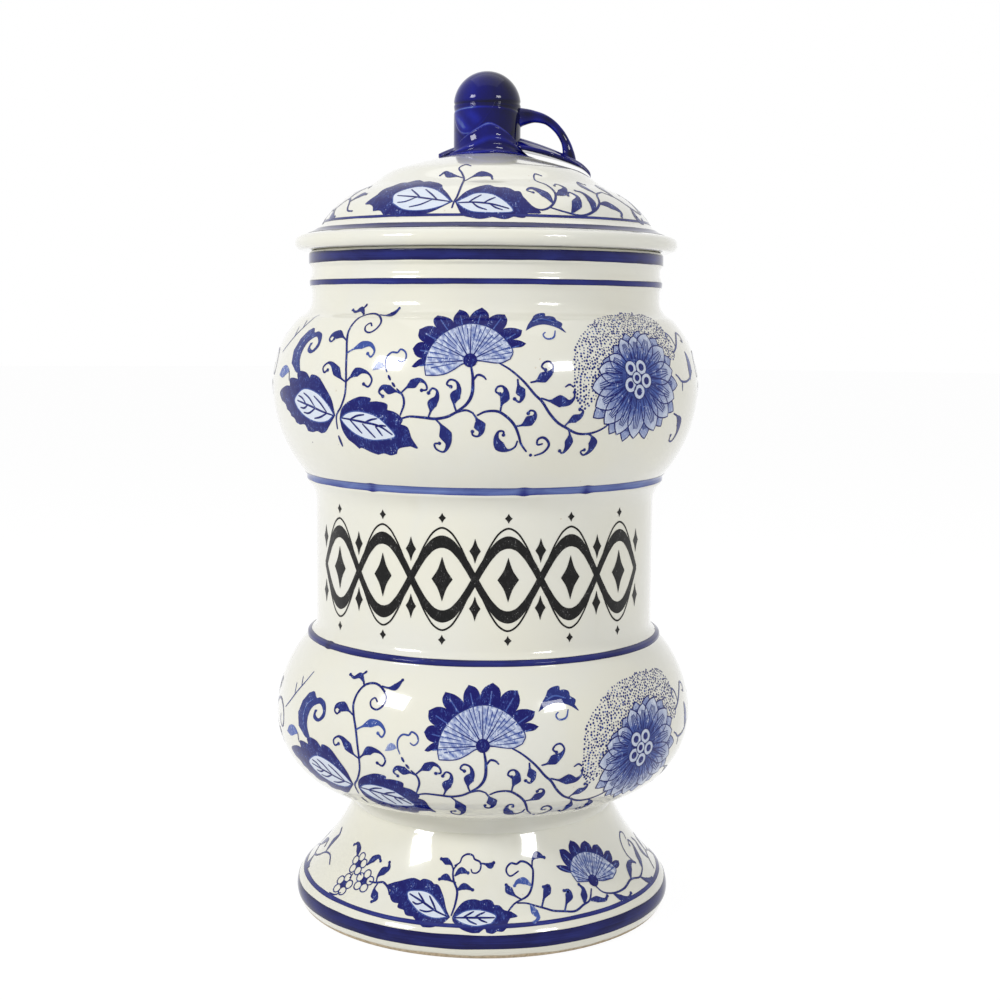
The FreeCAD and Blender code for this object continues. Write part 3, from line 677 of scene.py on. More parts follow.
@dataclass
class Rosebud:
    """The knob: a rosebud in its calyx, with three leaves and a bent stem, in millimetres."""

    lid: Lid
    radius: float = 11.9
    round_centre: float = 288.1
    foot: float = 267.6
    petal_step: float = 0.75
    calyx_thickness: float = 1.2
    around: int = 240
    glaze: CobaltGlaze = field(default_factory=CobaltGlaze)

    def skin(self, height: np.ndarray) -> np.ndarray:
        """Returns the bud's plain radius at these heights."""
        over = np.clip(height - self.round_centre, 0.0, self.radius - 1e-4)
        return np.sqrt(self.radius ** 2 - over ** 2)

    @staticmethod
    def apart(angle: np.ndarray, centre: float) -> np.ndarray:
        """Returns how far angles lie from a centre, in degrees from -180 to 180."""
        return (angle - centre + 180.0) % 360.0 - 180.0

    def bud_relief(self, angle: np.ndarray, height: np.ndarray) -> tuple[np.ndarray, np.ndarray]:
        """Works out the petals' relief.

        Args:
            angle: degrees about the axis, 270 at the front.
            height: height in millimetres.

        Returns:
            How far the surface lies under the plain radius, and the tone: how high it stands over its surroundings,
            with a painted sheen on the left side and painted shade on the right side.
        """
        # Painted light: the first mask lightens the knob's left side as a painted sheen, the second darkens its right
        # side as painted shade.
        painted_sheen_side = np.clip(np.cos(np.radians(self.apart(angle, 222.0))), 0.0, 1.0)
        painted_shade_side = np.clip(np.cos(np.radians(self.apart(angle, 335.0))), 0.0, 1.0)
        rear = ease(0.05, 0.5, np.cos(np.radians(self.apart(angle, 84.0))))
        cap_edge = 288.5 + 0.3 * np.cos(np.radians(angle - 60.0))
        groove = np.exp(-((height - cap_edge) / 0.5) ** 2)
        sink = 0.26 * groove
        # The tone darkens in the groove, where the glaze pools, and on the right side as painted shade.
        tone = 0.46 - 0.34 * groove - 0.40 * painted_shade_side
        # Petal edges are paler where the glaze breaks over them, and paler still on the left side as a painted
        # highlight.
        edges = (
            (286.7 - 0.00024 * self.apart(angle, 262.0) ** 2, 0.24, 0.08 + 0.36 * painted_sheen_side, 3.0),
            (285.6 - 0.00052 * self.apart(angle, 84.0) ** 2, self.petal_step * rear, 0.35 * rear, 4.0),
        )
        for edge, depth, edge_break_and_sheen, reach in edges:
            over = height - edge
            sink += depth * ease(-0.35, 0.45, over) * (1.0 - ease(0.45, reach, over))
            tone += edge_break_and_sheen * np.exp(-((over + 0.35) / 0.36) ** 2)
            tone -= 0.16 * np.exp(-((over - 0.5) / 0.5) ** 2)
        side = self.apart(angle, 232.0)
        fold = height - (277.2 + 0.0042 * side ** 2)
        tucked = np.clip(1.0 - np.abs(side) / 58.0, 0.0, 1.0)
        sink += 0.55 * tucked * (1.0 - ease(-0.6, 0.4, fold))
        tone += 0.42 * tucked * np.exp(-((fold - 0.2) / 0.4) ** 2)
        # A painted sheen on the big left petal, broken into streaks.
        sheen_breakup = 0.6 + 0.4 * np.sin(np.radians(angle) * 9.0 + height * 0.8)
        tone += 0.38 * painted_sheen_side ** 3 * ease(0.0, 2.5, fold) * (1.0 - ease(282.5, 286.6, height)) * sheen_breakup
        return sink, tone

    def make_bud(self, material: bpy.types.Material) -> bpy.types.Object:
        """Makes the wrapped petals and the closed tip."""
        low = np.linspace(self.foot, self.round_centre, 120)
        bow = np.linspace(0.0, math.pi / 2.0, 72)[1:-1]
        heights = np.concatenate([low, self.round_centre + self.radius * np.sin(bow)])
        angles = np.arange(self.around) * 360.0 / self.around
        angle, height = np.meshgrid(angles, heights)
        sink, tone = self.bud_relief(angle, height)
        near_top = np.clip((self.skin(height) / self.radius), 0.0, 1.0)
        over = np.clip(height - self.round_centre, 0.0, None) / self.radius
        radius = self.skin(height) - sink * np.sqrt(near_top)
        level = height - sink * over * 0.6
        turn = np.radians(angle)
        rings = np.stack([radius * np.cos(turn), radius * np.sin(turn), level], axis=-1) * MM
        piece = ring_solid("knob_rosebud", rings, material, False, tone)
        settle(piece, Body.LID, Slot.COBALT, "bud_core", "bud_cap", "petal_front", "petal_back", "petal_left")
        return piece

    def sepal_top(self, angle: np.ndarray) -> np.ndarray:
        """Returns the height of the calyx's upper edge: a tall fleshy point in front and lower ones round it."""
        front = 282.4 - 0.135 * np.sqrt(self.apart(angle, 274.0) ** 2 + 90.0)
        behind = 278.9 - 0.120 * np.sqrt(self.apart(angle, 92.0) ** 2 + 60.0)
        level = np.maximum(np.maximum(front, behind), 271.2)
        return level + 1.6 * np.exp(-(self.apart(angle, 20.0) / 24.0) ** 2)

    def calyx_hem(self, angle: np.ndarray) -> np.ndarray:
        """Returns how far out the calyx's lower edge lies."""
        lobes = 0.7 * np.cos(np.radians(angle * 3.0 + 70.0)) + 0.25 * np.cos(np.radians(angle * 7.0))
        lobes += 1.2 * np.exp(-(self.apart(angle, 262.0) / 22.0) ** 2)
        lobes -= 1.1 * np.exp(-(self.apart(angle, 318.0) / 18.0) ** 2)
        reach_left = 1.4 * np.exp(-(self.apart(angle, 190.0) / 34.0) ** 2)
        reach_right = 3.0 * np.exp(-(self.apart(angle, 350.0) / 26.0) ** 2)
        return 14.0 + lobes + reach_left + reach_right

    def make_calyx(self, material: bpy.types.Material) -> bpy.types.Object:
        """Makes the calyx that holds the bud, with its hem lying on the lid."""
        angles = np.arange(self.around) * 360.0 / self.around
        share, angle = np.meshgrid(np.linspace(0.0, 1.0, 64), angles, indexing="ij")
        top = self.sepal_top(angle)
        hem = self.calyx_hem(angle)
        floor = self.lid.crown_level(hem)
        height = top + (floor - 0.15 - top) * share
        inner = self.skin(height)
        flare = (hem - self.radius - 0.7) * share ** 2.2
        ridge = 0.35 * np.exp(-(self.apart(angle, 268.0) / 7.0) ** 2) * (1.0 - share)
        outward = self.calyx_thickness * (0.2 + 0.55 * ease(0.0, 0.12, share)) + flare + ridge
        fold = share - 0.60 - 0.14 * np.sin(np.radians(angle * 2.0 + 30.0))
        creases = 0.28 * np.exp(-(fold / 0.09) ** 2) - 0.2 * np.exp(-((fold - 0.17) / 0.08) ** 2)
        radius = inner + outward + creases
        lip = np.exp(-((share - 0.05) / 0.045) ** 2)
        roll = np.exp(-((share - 0.93) / 0.05) ** 2)
        # Painted shade: the calyx is darker on its right side.
        painted_shade_side = np.clip(np.cos(np.radians(self.apart(angle, 335.0))), 0.0, 1.0)
        tone = 0.44 + 0.42 * lip + 0.3 * roll + 0.2 * ridge + 0.7 * creases - 0.16 * painted_shade_side
        radius = radius + 0.55 * roll
        turn = np.radians(angle)
        outer = np.stack([radius * np.cos(turn), radius * np.sin(turn), height], axis=-1)
        under = np.stack([(inner[-1] - 1.0) * np.cos(turn[0]), (inner[-1] - 1.0) * np.sin(turn[0]), height[-1] - 0.3], -1)
        behind = np.stack([(inner[0] - 1.0) * np.cos(turn[0]), (inner[0] - 1.0) * np.sin(turn[0]), height[0] - 0.2], -1)
        rings = np.concatenate([outer, under[None], behind[None]]) * MM
        # The closing faces under the hem and inside the top edge take a dark tone: painted shade where the calyx meets
        # the crown and the bud.
        dark = np.full((2, self.around), 0.1)
        piece = ring_solid("knob_calyx", rings, material, True, np.concatenate([tone, dark]))
        settle(piece, Body.LID, Slot.COBALT, "calyx")
        return piece

    def make_leaf(self, name: str, node: str, reach: float, bearing: float, width: float, proud: float,
                  arch: float, material: bpy.types.Material) -> bpy.types.Object:
        """Makes one leaf lying on the crown.

        Args:
            name: the piece's name.
            node: the solid that it stands for.
            reach: how far its tip lies from the axis.
            bearing: its direction in degrees.
            width: its greatest width.
            proud: how thick it is at its root, over the edge.
            arch: how high it stands clear of the crown at its root.
            material: its glaze.

        Returns:
            The leaf.
        """
        lift_up = 1.1
        stations = 96
        across = 56
        along = np.linspace(0.0, 1.0, stations)
        way = 8.0 + (reach - 8.0) * along
        half = width / 2.0 * (0.62 + 0.38 * np.sin(math.pi * np.clip(along * 1.5, 0.0, 1.0) - 0.2))
        half = half * np.sqrt(np.clip(1.0 - along ** 2.6, 0.0, 1.0)) + 0.15
        half = half * (1.0 + 0.04 * np.sin(along * math.pi * 4.5))
        thick = proud * (1.0 - along ** 1.4) + 1.3
        around = np.arange(across) / across * TURN
        side = np.cos(around)
        over = np.sin(around)
        offset = half[:, None] * side[None, :]
        spine = way[:, None]
        far = np.sqrt(spine ** 2 + offset ** 2)
        ground = self.lid.crown_level(np.clip(far, 0.0, 43.0))
        beyond = np.clip(far - 43.0, 0.0, None)
        near = spine / reach
        ground = ground - beyond * 0.55 + arch * np.clip(1.0 - near, 0.0, 1.0) ** 0.4 * (0.4 + 0.6 * near)
        edge = np.abs(side)[None, :]
        body = thick[:, None] * (0.42 + 0.58 * (1.0 - edge ** 2.2))
        curl = lift_up * edge ** 4 * np.sin(math.pi * along)[:, None]
        slant = side[None, :] * half[:, None]
        phase = way[:, None] - np.abs(slant) * 0.75
        veins = 0.12 * np.cos(phase * TURN / 5.4) * (edge * (1.0 - edge ** 2)) * np.sin(math.pi * along)[:, None]
        rib = 0.75 * np.exp(-(slant / 0.8) ** 2) * (1.0 - along)[:, None] ** 0.5
        gutter = -0.35 * np.exp(-((np.abs(slant) - 1.7) / 0.7) ** 2)
        top = np.clip(over, 0.0, 1.0)[None, :] ** 0.35
        lift = (body + rib + gutter + veins) * top + curl
        level = ground + np.where(over[None, :] >= 0.0, lift, curl * 0.6 - 0.1)
        turn = math.radians(bearing)
        x = spine * math.cos(turn) - offset * math.sin(turn)
        y = spine * math.sin(turn) + offset * math.cos(turn)
        rings = np.stack([x, y, level], axis=-1) * MM
        # The leaf's underside is darker: painted shade under the leaf.
        tone = 0.4 + 0.4 * rib * top + 0.9 * veins * top + 0.35 * edge ** 7 * top - 0.2 * (1.0 - top)
        piece = ring_solid(name, rings, material, False, tone)
        settle(piece, Body.LID, Slot.COBALT, node)
        return piece

    def make_stem(self, material: bpy.types.Material) -> bpy.types.Object:
        """Makes the bent stem from the bud to the right leaf."""
        stops = np.array([
            (9.0, 283.4), (12.6, 284.1), (17.0, 284.2), (21.4, 282.9), (25.2, 279.7), (27.7, 275.8), (28.7, 272.6),
            (28.9, 270.4), (28.8, 268.8),
        ])
        thick = np.array([8.6, 6.2, 4.1, 3.1, 2.9, 3.1, 3.9, 5.0, 6.0])
        path = smooth_way([tuple(stop) for stop in stops], 0.35)
        shares = np.linspace(0.0, 1.0, len(path))
        places = lengths([tuple(stop) for stop in stops])
        radius = np.interp(shares, places / places[-1], thick) / 2.0
        around = 40
        turn = np.arange(around) / around * TURN
        ahead = np.gradient(path, axis=0)
        ahead = ahead / np.linalg.norm(ahead, axis=1)[:, None]
        side = np.stack([-ahead[:, 1], ahead[:, 0]], axis=-1)
        ridge = 1.0 + 0.06 * np.cos(turn * 3.0 + 0.6)
        spread = radius[:, None] * ridge[None, :]
        x = path[:, 0][:, None] + side[:, 0][:, None] * spread * np.cos(turn)
        z = path[:, 1][:, None] + side[:, 1][:, None] * spread * np.cos(turn)
        y = spread * np.sin(turn) * 0.94
        rings = np.stack([x, y, z], axis=-1) * MM
        tone = 0.36 + 0.22 * np.cos(turn * 3.0 + 0.6)[None, :] + 0.12 * np.sin(shares * 25.0)[:, None]
        piece = ring_solid("knob_stem", rings, material, False, tone)
        settle(piece, Body.LID, Slot.COBALT, "stem_loop")
        return piece

    def make(self) -> None:
        """Makes every piece of the knob."""
        material = self.glaze.make()
        self.make_bud(material)
        self.make_calyx(material)
        self.make_leaf("knob_leaf_right", "leaf_right", 37.0, 355.0, 15.0, 2.3, 3.6, material)
        self.make_leaf("knob_leaf_left", "leaf_left", 17.5, 192.0, 12.0, 0.8, 0.0, material)
        self.make_leaf("knob_leaf_back", "leaf_back", 32.0, 86.0, 19.0, 3.0, 0.0, material)
        self.make_stem(material)


def lengths(points: Sequence[PAIR]) -> np.ndarray:
    """Returns the length along a run of points at each of them."""
    steps = np.linalg.norm(np.diff(np.array(points), axis=0), axis=1)
    return np.concatenate([[0.0], np.cumsum(steps)])


def smooth_way(points: Sequence[PAIR], step: float, closed: bool = False) -> np.ndarray:
    """Runs a smooth curve through points.

    Args:
        points: the points to pass through.
        step: the distance between the points returned.
        closed: whether the curve returns to its start.

    Returns:
        Evenly spaced points, one per row.
    """
    knots = np.array(points, dtype=float)
    if len(knots) < 3:
        count = max(2, math.ceil(float(np.linalg.norm(knots[-1] - knots[0])) / step) + 1)
        return knots[0] + (knots[-1] - knots[0]) * np.linspace(0.0, 1.0, count)[:, None]
    if closed:
        padded = np.vstack([knots[-1], knots, knots[0], knots[1]])
    else:
        padded = np.vstack([2 * knots[0] - knots[1], knots, 2 * knots[-1] - knots[-2]])
    dense = []
    for a, b, c, d in zip(padded[:-3], padded[1:-2], padded[2:-1], padded[3:]):
        count = max(2, math.ceil(float(np.linalg.norm(c - b)) / (step * 0.3)))
        spans = [max(float(np.linalg.norm(q - p)), 1e-6) ** 0.5 for p, q in ((a, b), (b, c), (c, d))]
        lead = ((b - a) / spans[0] - (c - a) / (spans[0] + spans[1]) + (c - b) / spans[1]) * spans[1]
        tail = ((c - b) / spans[1] - (d - b) / (spans[1] + spans[2]) + (d - c) / spans[2]) * spans[1]
        share = (np.arange(count) / count)[:, None]
        cube = share ** 3
        square = share ** 2
        dense.append(
            (2 * cube - 3 * square + 1) * b + (cube - 2 * square + share) * lead
            + (-2 * cube + 3 * square) * c + (cube - square) * tail
        )
    line = np.vstack(dense + [knots[:1] if closed else knots[-1:]])
    along = np.concatenate([[0.0], np.cumsum(np.linalg.norm(np.diff(line, axis=0), axis=1))])
    count = max(3, math.ceil(along[-1] / step) + 1)
    wanted = np.linspace(0.0, along[-1], count)
    result = np.stack([np.interp(wanted, along, line[:, 0]), np.interp(wanted, along, line[:, 1])], axis=-1)
    return result[:-1] if closed else result


def knots(text: str) -> list[PAIR]:
    """Reads points written as pairs with commas between them."""
    return [tuple(float(word) for word in pair.split()) for pair in text.split(",")]


def cornered(text: str, step: float, closed: bool = True) -> np.ndarray:
    """Runs smooth curves through points, with a sharp corner at every slash.

    Args:
        text: the points, as knots reads them, with slashes.
        step: the distance between the points returned.
        closed: whether the last run returns to the first point.

    Returns:
        The points, one per row.
    """
    runs = [knots(run) for run in text.split("/")]
    if len(runs) == 1 and closed:
        return smooth_way(runs[0], step, True)
    line = []
    for number, run in enumerate(runs):
        ahead = runs[(number + 1) % len(runs)][:1] if closed or number + 1 < len(runs) else []
        line.append(smooth_way(run + ahead, step)[:-1])
    return np.vstack(line)


class Sheet:
    """Flat ornament in millimetres, gathered as small faces, each with a tone and a level.

    The tone runs from 0, the darkest, to 1, the palest. A higher level lies over a lower one.
    """

    LIFT = 0.055
    LEVEL = 0.03
    GRAIN = 0.95
    FINE = 0.5

    def __init__(self) -> None:
        """Starts an empty sheet."""
        self.points: list[tuple[float, float, float]] = []
        self.tones: list[float] = []
        self.faces: list[list[int]] = []
        self.frame(0.0, 0.0)

    def frame(self, x: float, y: float, scale: float = 1.0, flip: bool = False) -> "Sheet":
        """Sets where, how large and which way round the next motif is drawn."""
        self.origin = np.array((x, y))
        self.scale = scale
        self.flip = flip
        return self

    def _add(self, flat: np.ndarray, faces: Iterable[Sequence[int]], tones: np.ndarray, level: int) -> None:
        """Adds faces, moved into the frame that is set."""
        first = len(self.points)
        placed = flat * self.scale * np.array((-1.0 if self.flip else 1.0, 1.0)) + self.origin
        lift = self.LIFT + self.LEVEL * level
        self.points += [(float(x), float(y), lift) for x, y in placed]
        self.tones += [float(tone) for tone in tones]
        for face in faces:
            spots = [first + spot for spot in face]
            a, b, c = (np.array(self.points[spot][:2]) for spot in spots[:3])
            up = (b[0] - a[0]) * (c[1] - a[1]) - (b[1] - a[1]) * (c[0] - a[0]) > 0.0
            self.faces.append(spots if up else spots[::-1])

    def fill(self, outline: np.ndarray, tone: Union[float, Callable[[np.ndarray], np.ndarray]], level: int = 0) -> None:
        """Fills an outline.

        Args:
            outline: its points.
            tone: one tone, or a function that gives the tones at points.
            level: the level it lies on.
        """
        low = outline.min(axis=0)
        high = outline.max(axis=0)
        columns = np.arange(low[0] + self.GRAIN / 2, high[0], self.GRAIN)
        lines = np.arange(low[1] + self.GRAIN / 2, high[1], self.GRAIN)
        spots = np.array([(x, y) for x in columns for y in lines])
        if len(spots):
            spots = spots[inside(spots, outline)]
        flat = np.vstack([outline, spots.reshape(-1, 2)])
        count = len(outline)
        edges = [(i, (i + 1) % count) for i in range(count)]
        made = geometry.delaunay_2d_cdt([Vector(point) for point in flat], edges, [list(range(count))], 1, 1e-5)
        places = np.array([tuple(point) for point in made[0]])
        values = tone(places) if callable(tone) else np.full(len(places), tone)
        self._add(places, made[2], values, level)

    def stroke(self, line: np.ndarray, widths: Union[float, np.ndarray], tone: float, level: int = 1) -> None:
        """Draws a line of changing width along points."""
        half = np.broadcast_to(np.asarray(widths, dtype=float), (len(line),)) / 2.0
        ahead = np.gradient(line, axis=0)
        ahead = ahead / np.maximum(np.linalg.norm(ahead, axis=1), 1e-9)[:, None]
        side = np.stack([-ahead[:, 1], ahead[:, 0]], axis=-1) * half[:, None]
        start = line[:1] - ahead[:1] * half[0] * 0.8
        end = line[-1:] + ahead[-1:] * half[-1] * 0.8
        flat = np.vstack([line + side, line, line - side, start, end])
        count = len(line)
        faces = []
        for i in range(count - 1):
            faces.append((i, i + 1, count + i + 1, count + i))
            faces.append((count + i, count + i + 1, 2 * count + i + 1, 2 * count + i))
        faces += [(3 * count, 0, count), (3 * count, count, 2 * count)]
        faces += [(3 * count + 1, 2 * count - 1, count - 1), (3 * count + 1, 3 * count - 1, 2 * count - 1)]
        self._add(flat, faces, np.full(len(flat), tone), level)

    def vine(self, text: str, width: float = 0.68, tone: float = 0.04, level: int = 1) -> None:
        """Draws a stem, a little thicker in its middle."""
        line = smooth_way(knots(text), self.FINE)
        share = np.linspace(0.0, 1.0, len(line))
        self.stroke(line, width * (0.72 + 0.4 * np.sin(math.pi * share)), tone, level)

    def leaflet(self, text: str, thickness: float, body: int = 1, tone: float = 0.06) -> None:
        """Draws a leaf that swells at one of its points and ends in a thin curl.

        Args:
            text: the points from its base to the end of its curl.
            thickness: its greatest width.
            body: the number of the point where it is widest.
            tone: its tone.
        """
        stops = knots(text)
        line = smooth_way(stops, self.FINE * 0.8)
        along = lengths([tuple(point) for point in line])
        places = [float(along[np.argmin(np.linalg.norm(line - np.array(stop), axis=1))]) for stop in stops]
        widths = [0.55] + [0.62] * (len(stops) - 1)
        thickness *= 1.14
        widths[body] = thickness
        if body + 2 < len(stops):
            widths[body + 1] = min(thickness * 0.5, 1.5)
        places = np.maximum.accumulate(places) + np.arange(len(places)) * 1e-6
        swell = np.interp(along, places, widths)
        near = max((places[body] - places[0]) / 3.0, 0.8)
        reach = max(1, int(near / (self.FINE * 0.8)))
        kernel = np.hanning(2 * reach + 3)
        swell = np.convolve(np.pad(swell, reach + 1, mode="edge"), kernel / kernel.sum(), mode="valid")
        swell = swell * thickness / max(float(swell.max()), 1e-6) * 0.5 + np.interp(along, places, widths) * 0.5
        self.stroke(line, swell, tone)
        knob = 0.62 if thickness > 2.0 else 0.5
        self.dot(tuple(line[-1]), knob, tone, 2)

    def dot(self, centre: PAIR, radius: float, tone: float, level: int = 1) -> None:
        """Draws a round dot."""
        around = 10 if radius < 1.0 else 20
        turn = np.arange(around) * TURN / around
        rim = np.array(centre) + radius * np.stack([np.cos(turn), np.sin(turn)], axis=-1)
        flat = np.vstack([rim, np.array(centre)[None]])
        faces = [(i, (i + 1) % around, around) for i in range(around)]
        self._add(flat, faces, np.full(around + 1, tone), level)

    def ring(self, centre: PAIR, radius: float, width: float, tone: float, level: int = 2) -> None:
        """Draws a round line."""
        turn = np.linspace(0.0, TURN, 25)
        self.stroke(np.array(centre) + radius * np.stack([np.cos(turn), np.sin(turn)], axis=-1), width, tone, level)

    def nib(self, text: str, width: float, lean: float, tone: float, level: int = 1) -> None:
        """Draws a line with a broad pen held at a fixed angle.

        Args:
            text: the points of its way.
            width: the pen's width.
            lean: the pen's angle in degrees.
            tone: its tone.
            level: its level.
        """
        line = smooth_way(knots(text), self.FINE)
        ahead = np.gradient(line, axis=0)
        ahead = ahead / np.maximum(np.linalg.norm(ahead, axis=1), 1e-9)[:, None]
        turn = math.radians(lean)
        held = np.array((math.cos(turn), math.sin(turn)))
        across = np.abs(ahead[:, 0] * held[1] - ahead[:, 1] * held[0])
        self.stroke(line, 0.55 + width * across, tone, level)

    def lozenge(self, centre: PAIR, width: float, height: float, tone: float, level: int = 1) -> None:
        """Draws a diamond with slightly hollow sides."""
        x, y = centre
        half = width / 2.0
        tall = height / 2.0
        text = "/".join(
            f"{x + a * half} {y + b * tall}, {x + (a + c) * half * 0.42} {y + (b + d) * tall * 0.42}"
            for (a, b), (c, d) in (((1, 0), (0, 1)), ((0, 1), (-1, 0)), ((-1, 0), (0, -1)), ((0, -1), (1, 0)))
        )
        self.fill(cornered(text, self.FINE), tone, level)

    def petal(self, base: PAIR, tip: PAIR, width: float, tones: PAIR, level: int, lines: int = 2) -> None:
        """Draws an outlined petal.

        Args:
            base: where it starts.
            tip: its point.
            width: its greatest width.
            tones: its tones at base and tip.
            level: its level.
            lines: how many fine lines run along it.
        """
        start = np.array(base)
        run = np.array(tip) - start
        long = float(np.linalg.norm(run))
        ahead = run / long
        side = np.array((-ahead[1], ahead[0]))

        def spot(along: float, across: float) -> str:
            """Writes one point of the petal."""
            point = start + ahead * long * along + side * width * across
            return f"{point[0]} {point[1]}"

        left = [spot(0.0, 0.16), spot(0.35, 0.40), spot(0.68, 0.48), spot(0.9, 0.24)]
        right = [spot(1.0, 0.0), spot(0.9, -0.24), spot(0.68, -0.48), spot(0.35, -0.40), spot(0.0, -0.16)]
        outline = cornered(", ".join(left) + "/" + ", ".join(right), self.FINE)

        def shade(points: np.ndarray) -> np.ndarray:
            """Runs from the base's tone to the tip's."""
            share = np.clip(((points - start) @ ahead) / long, 0.0, 1.0)
            return tones[0] + (tones[1] - tones[0]) * share

        self.fill(outline, shade, level)
        rim = np.vstack([outline, outline[:1]])
        self.stroke(rim, 0.42, 0.0, level + 1)
        for number in range(lines):
            across = (number + 1) / (lines + 1) - 0.5
            text = ", ".join((spot(0.08, across * 0.3), spot(0.45, across * 0.7), spot(0.8, across * 0.35)))
            self.stroke(smooth_way(knots(text), self.FINE), 0.34, 0.12, level + 1)

    def flat_mesh(self, name: str) -> bpy.types.Object:
        """Makes the drawing a flat mesh in metres, with its millimetres kept as a UV map."""
        points = np.array(self.points) * MM
        piece = mesh_piece(name, points, self.faces, None, np.array(self.tones))
        spots = np.empty(len(piece.data.loops), dtype=np.int64)
        piece.data.loops.foreach_get("vertex_index", spots)
        layer = piece.data.uv_layers.new(name="drawing")
        layer.data.foreach_set("uv", (points[spots, :2] / MM).astype(np.float32).ravel())
        return piece


def inside(spots: np.ndarray, outline: np.ndarray) -> np.ndarray:
    """Tells which spots lie inside a closed outline."""
    x, y = spots[:, 0][:, None], spots[:, 1][:, None]
    ax, ay = outline[:, 0][None], outline[:, 1][None]
    bx, by = np.roll(ax, -1), np.roll(ay, -1)
    crosses = (ay > y) != (by > y)
    reach = (bx - ax) * (y - ay) / np.where(by == ay, 1e-12, by - ay) + ax
    return (crosses & (x < reach)).sum(axis=1) % 2 == 1


class Tree:
    """A geometry node tree with named inputs."""

    def __init__(self, name: str, **inputs: str) -> None:
        """Starts a tree whose inputs are the geometry and these sockets by name and type."""
        self.group = bpy.data.node_groups.new(name, "GeometryNodeTree")
        sides = self.group.interface
        sides.new_socket("Geometry", in_out="INPUT", socket_type="NodeSocketGeometry")
        self.keys = {
            key: sides.new_socket(key, in_out="INPUT", socket_type=kind).identifier for key, kind in inputs.items()
        }
        sides.new_socket("Geometry", in_out="OUTPUT", socket_type="NodeSocketGeometry")
        self.given = self.group.nodes.new("NodeGroupInput").outputs
        self.result = self.group.nodes.new("NodeGroupOutput").inputs

    def add(self, kind: str, settings: dict, inputs: dict) -> bpy.types.NodeOutputs:
        """Adds a node.

        Args:
            kind: its type.
            settings: its own settings.
            inputs: values or sockets by the input's name or place.

        Returns:
            Its outputs.
        """
        node = self.group.nodes.new(kind)
        for key, value in settings.items():
            setattr(node, key, value)
        for key, value in inputs.items():
            if isinstance(value, bpy.types.NodeSocket):
                self.group.links.new(value, node.inputs[key])
            else:
                node.inputs[key].default_value = value
        return node.outputs

    def sum(self, operation: str, first: object, second: object) -> bpy.types.NodeSocket:
        """Adds a Math node."""
        return self.add("ShaderNodeMath", {"operation": operation}, {0: first, 1: second})[0]

    def end(self, socket: bpy.types.NodeSocket) -> None:
        """Links the result."""
        self.group.links.new(socket, self.result[0])

    def run(self, piece: bpy.types.Object, **values: object) -> None:
        """Sets the tree on a piece with these values and makes its result a plain mesh."""
        modifier = piece.modifiers.new(self.group.name, "NODES")
        modifier.node_group = self.group
        for key, value in values.items():
            modifier[self.keys[key]] = value
        graph = bpy.context.evaluated_depsgraph_get()
        made = bpy.data.meshes.new_from_object(piece.evaluated_get(graph))
        piece.modifiers.remove(modifier)
        piece.data = made


def lay_tree() -> Tree:
    """Makes the tree that lays a flat drawing on a turned surface and repeats it about the axis.

    The drawing's x runs round the surface at a reference radius, its y along the outline from a datum, and
    its z stands off the surface. The lean of the surface is kept on the points for their normals.
    """
    tree = Tree(
        "lay_on_turned_surface", Outline="NodeSocketObject", Datum="NodeSocketFloat", Radius="NodeSocketFloat",
        Repeats="NodeSocketInt", Material="NodeSocketMaterial",
    )
    given = tree.given
    way = tree.add("GeometryNodeObjectInfo", {}, {"Object": given["Outline"]})["Geometry"]
    at = tree.add("ShaderNodeSeparateXYZ", {}, {0: tree.add("GeometryNodeInputPosition", {}, {})[0]})
    length = tree.sum("ADD", at["Y"], given["Datum"])
    sample = tree.add("GeometryNodeSampleCurve", {"mode": "LENGTH"}, {"Curves": way, "Length": length})
    along = tree.add("ShaderNodeSeparateXYZ", {}, {0: sample["Tangent"]})
    down = tree.sum("MULTIPLY", along["X"], -1.0)
    lean = tree.add("ShaderNodeCombineXYZ", {}, {"X": along["Z"], "Z": down})[0]
    off = tree.add("ShaderNodeVectorMath", {"operation": "SCALE"}, {0: lean, "Scale": at["Z"]})[0]
    spot = tree.add("ShaderNodeVectorMath", {"operation": "ADD"}, {0: sample["Position"], 1: off})[0]
    turn = tree.sum("SUBTRACT", tree.sum("DIVIDE", at["X"], given["Radius"]), math.pi / 2.0)
    placed = tree.add("ShaderNodeVectorRotate", {"rotation_type": "Z_AXIS"}, {"Vector": spot, "Angle": turn})[0]
    kept = tree.add(
        "GeometryNodeStoreNamedAttribute", {"data_type": "FLOAT_VECTOR", "domain": "POINT"},
        {"Geometry": given["Geometry"], "Name": "lean", "Value": lean},
    )[0]
    laid = tree.add("GeometryNodeSetPosition", {}, {"Geometry": kept, "Position": placed})[0]
    step = tree.sum("DIVIDE", TURN, given["Repeats"])
    angle = tree.sum("MULTIPLY", tree.add("GeometryNodeInputIndex", {}, {})[0], step)
    points = tree.add("GeometryNodePoints", {}, {"Count": given["Repeats"]})[0]
    spin = tree.add("FunctionNodeEulerToRotation", {}, {0: tree.add("ShaderNodeCombineXYZ", {}, {"Z": angle})[0]})[0]
    copies = tree.add("GeometryNodeInstanceOnPoints", {}, {"Points": points, "Instance": laid, "Rotation": spin})[0]
    real = tree.add("GeometryNodeRealizeInstances", {}, {"Geometry": copies})[0]
    tree.end(tree.add("GeometryNodeSetMaterial", {}, {"Geometry": real, "Material": given["Material"]})[0])
    return tree


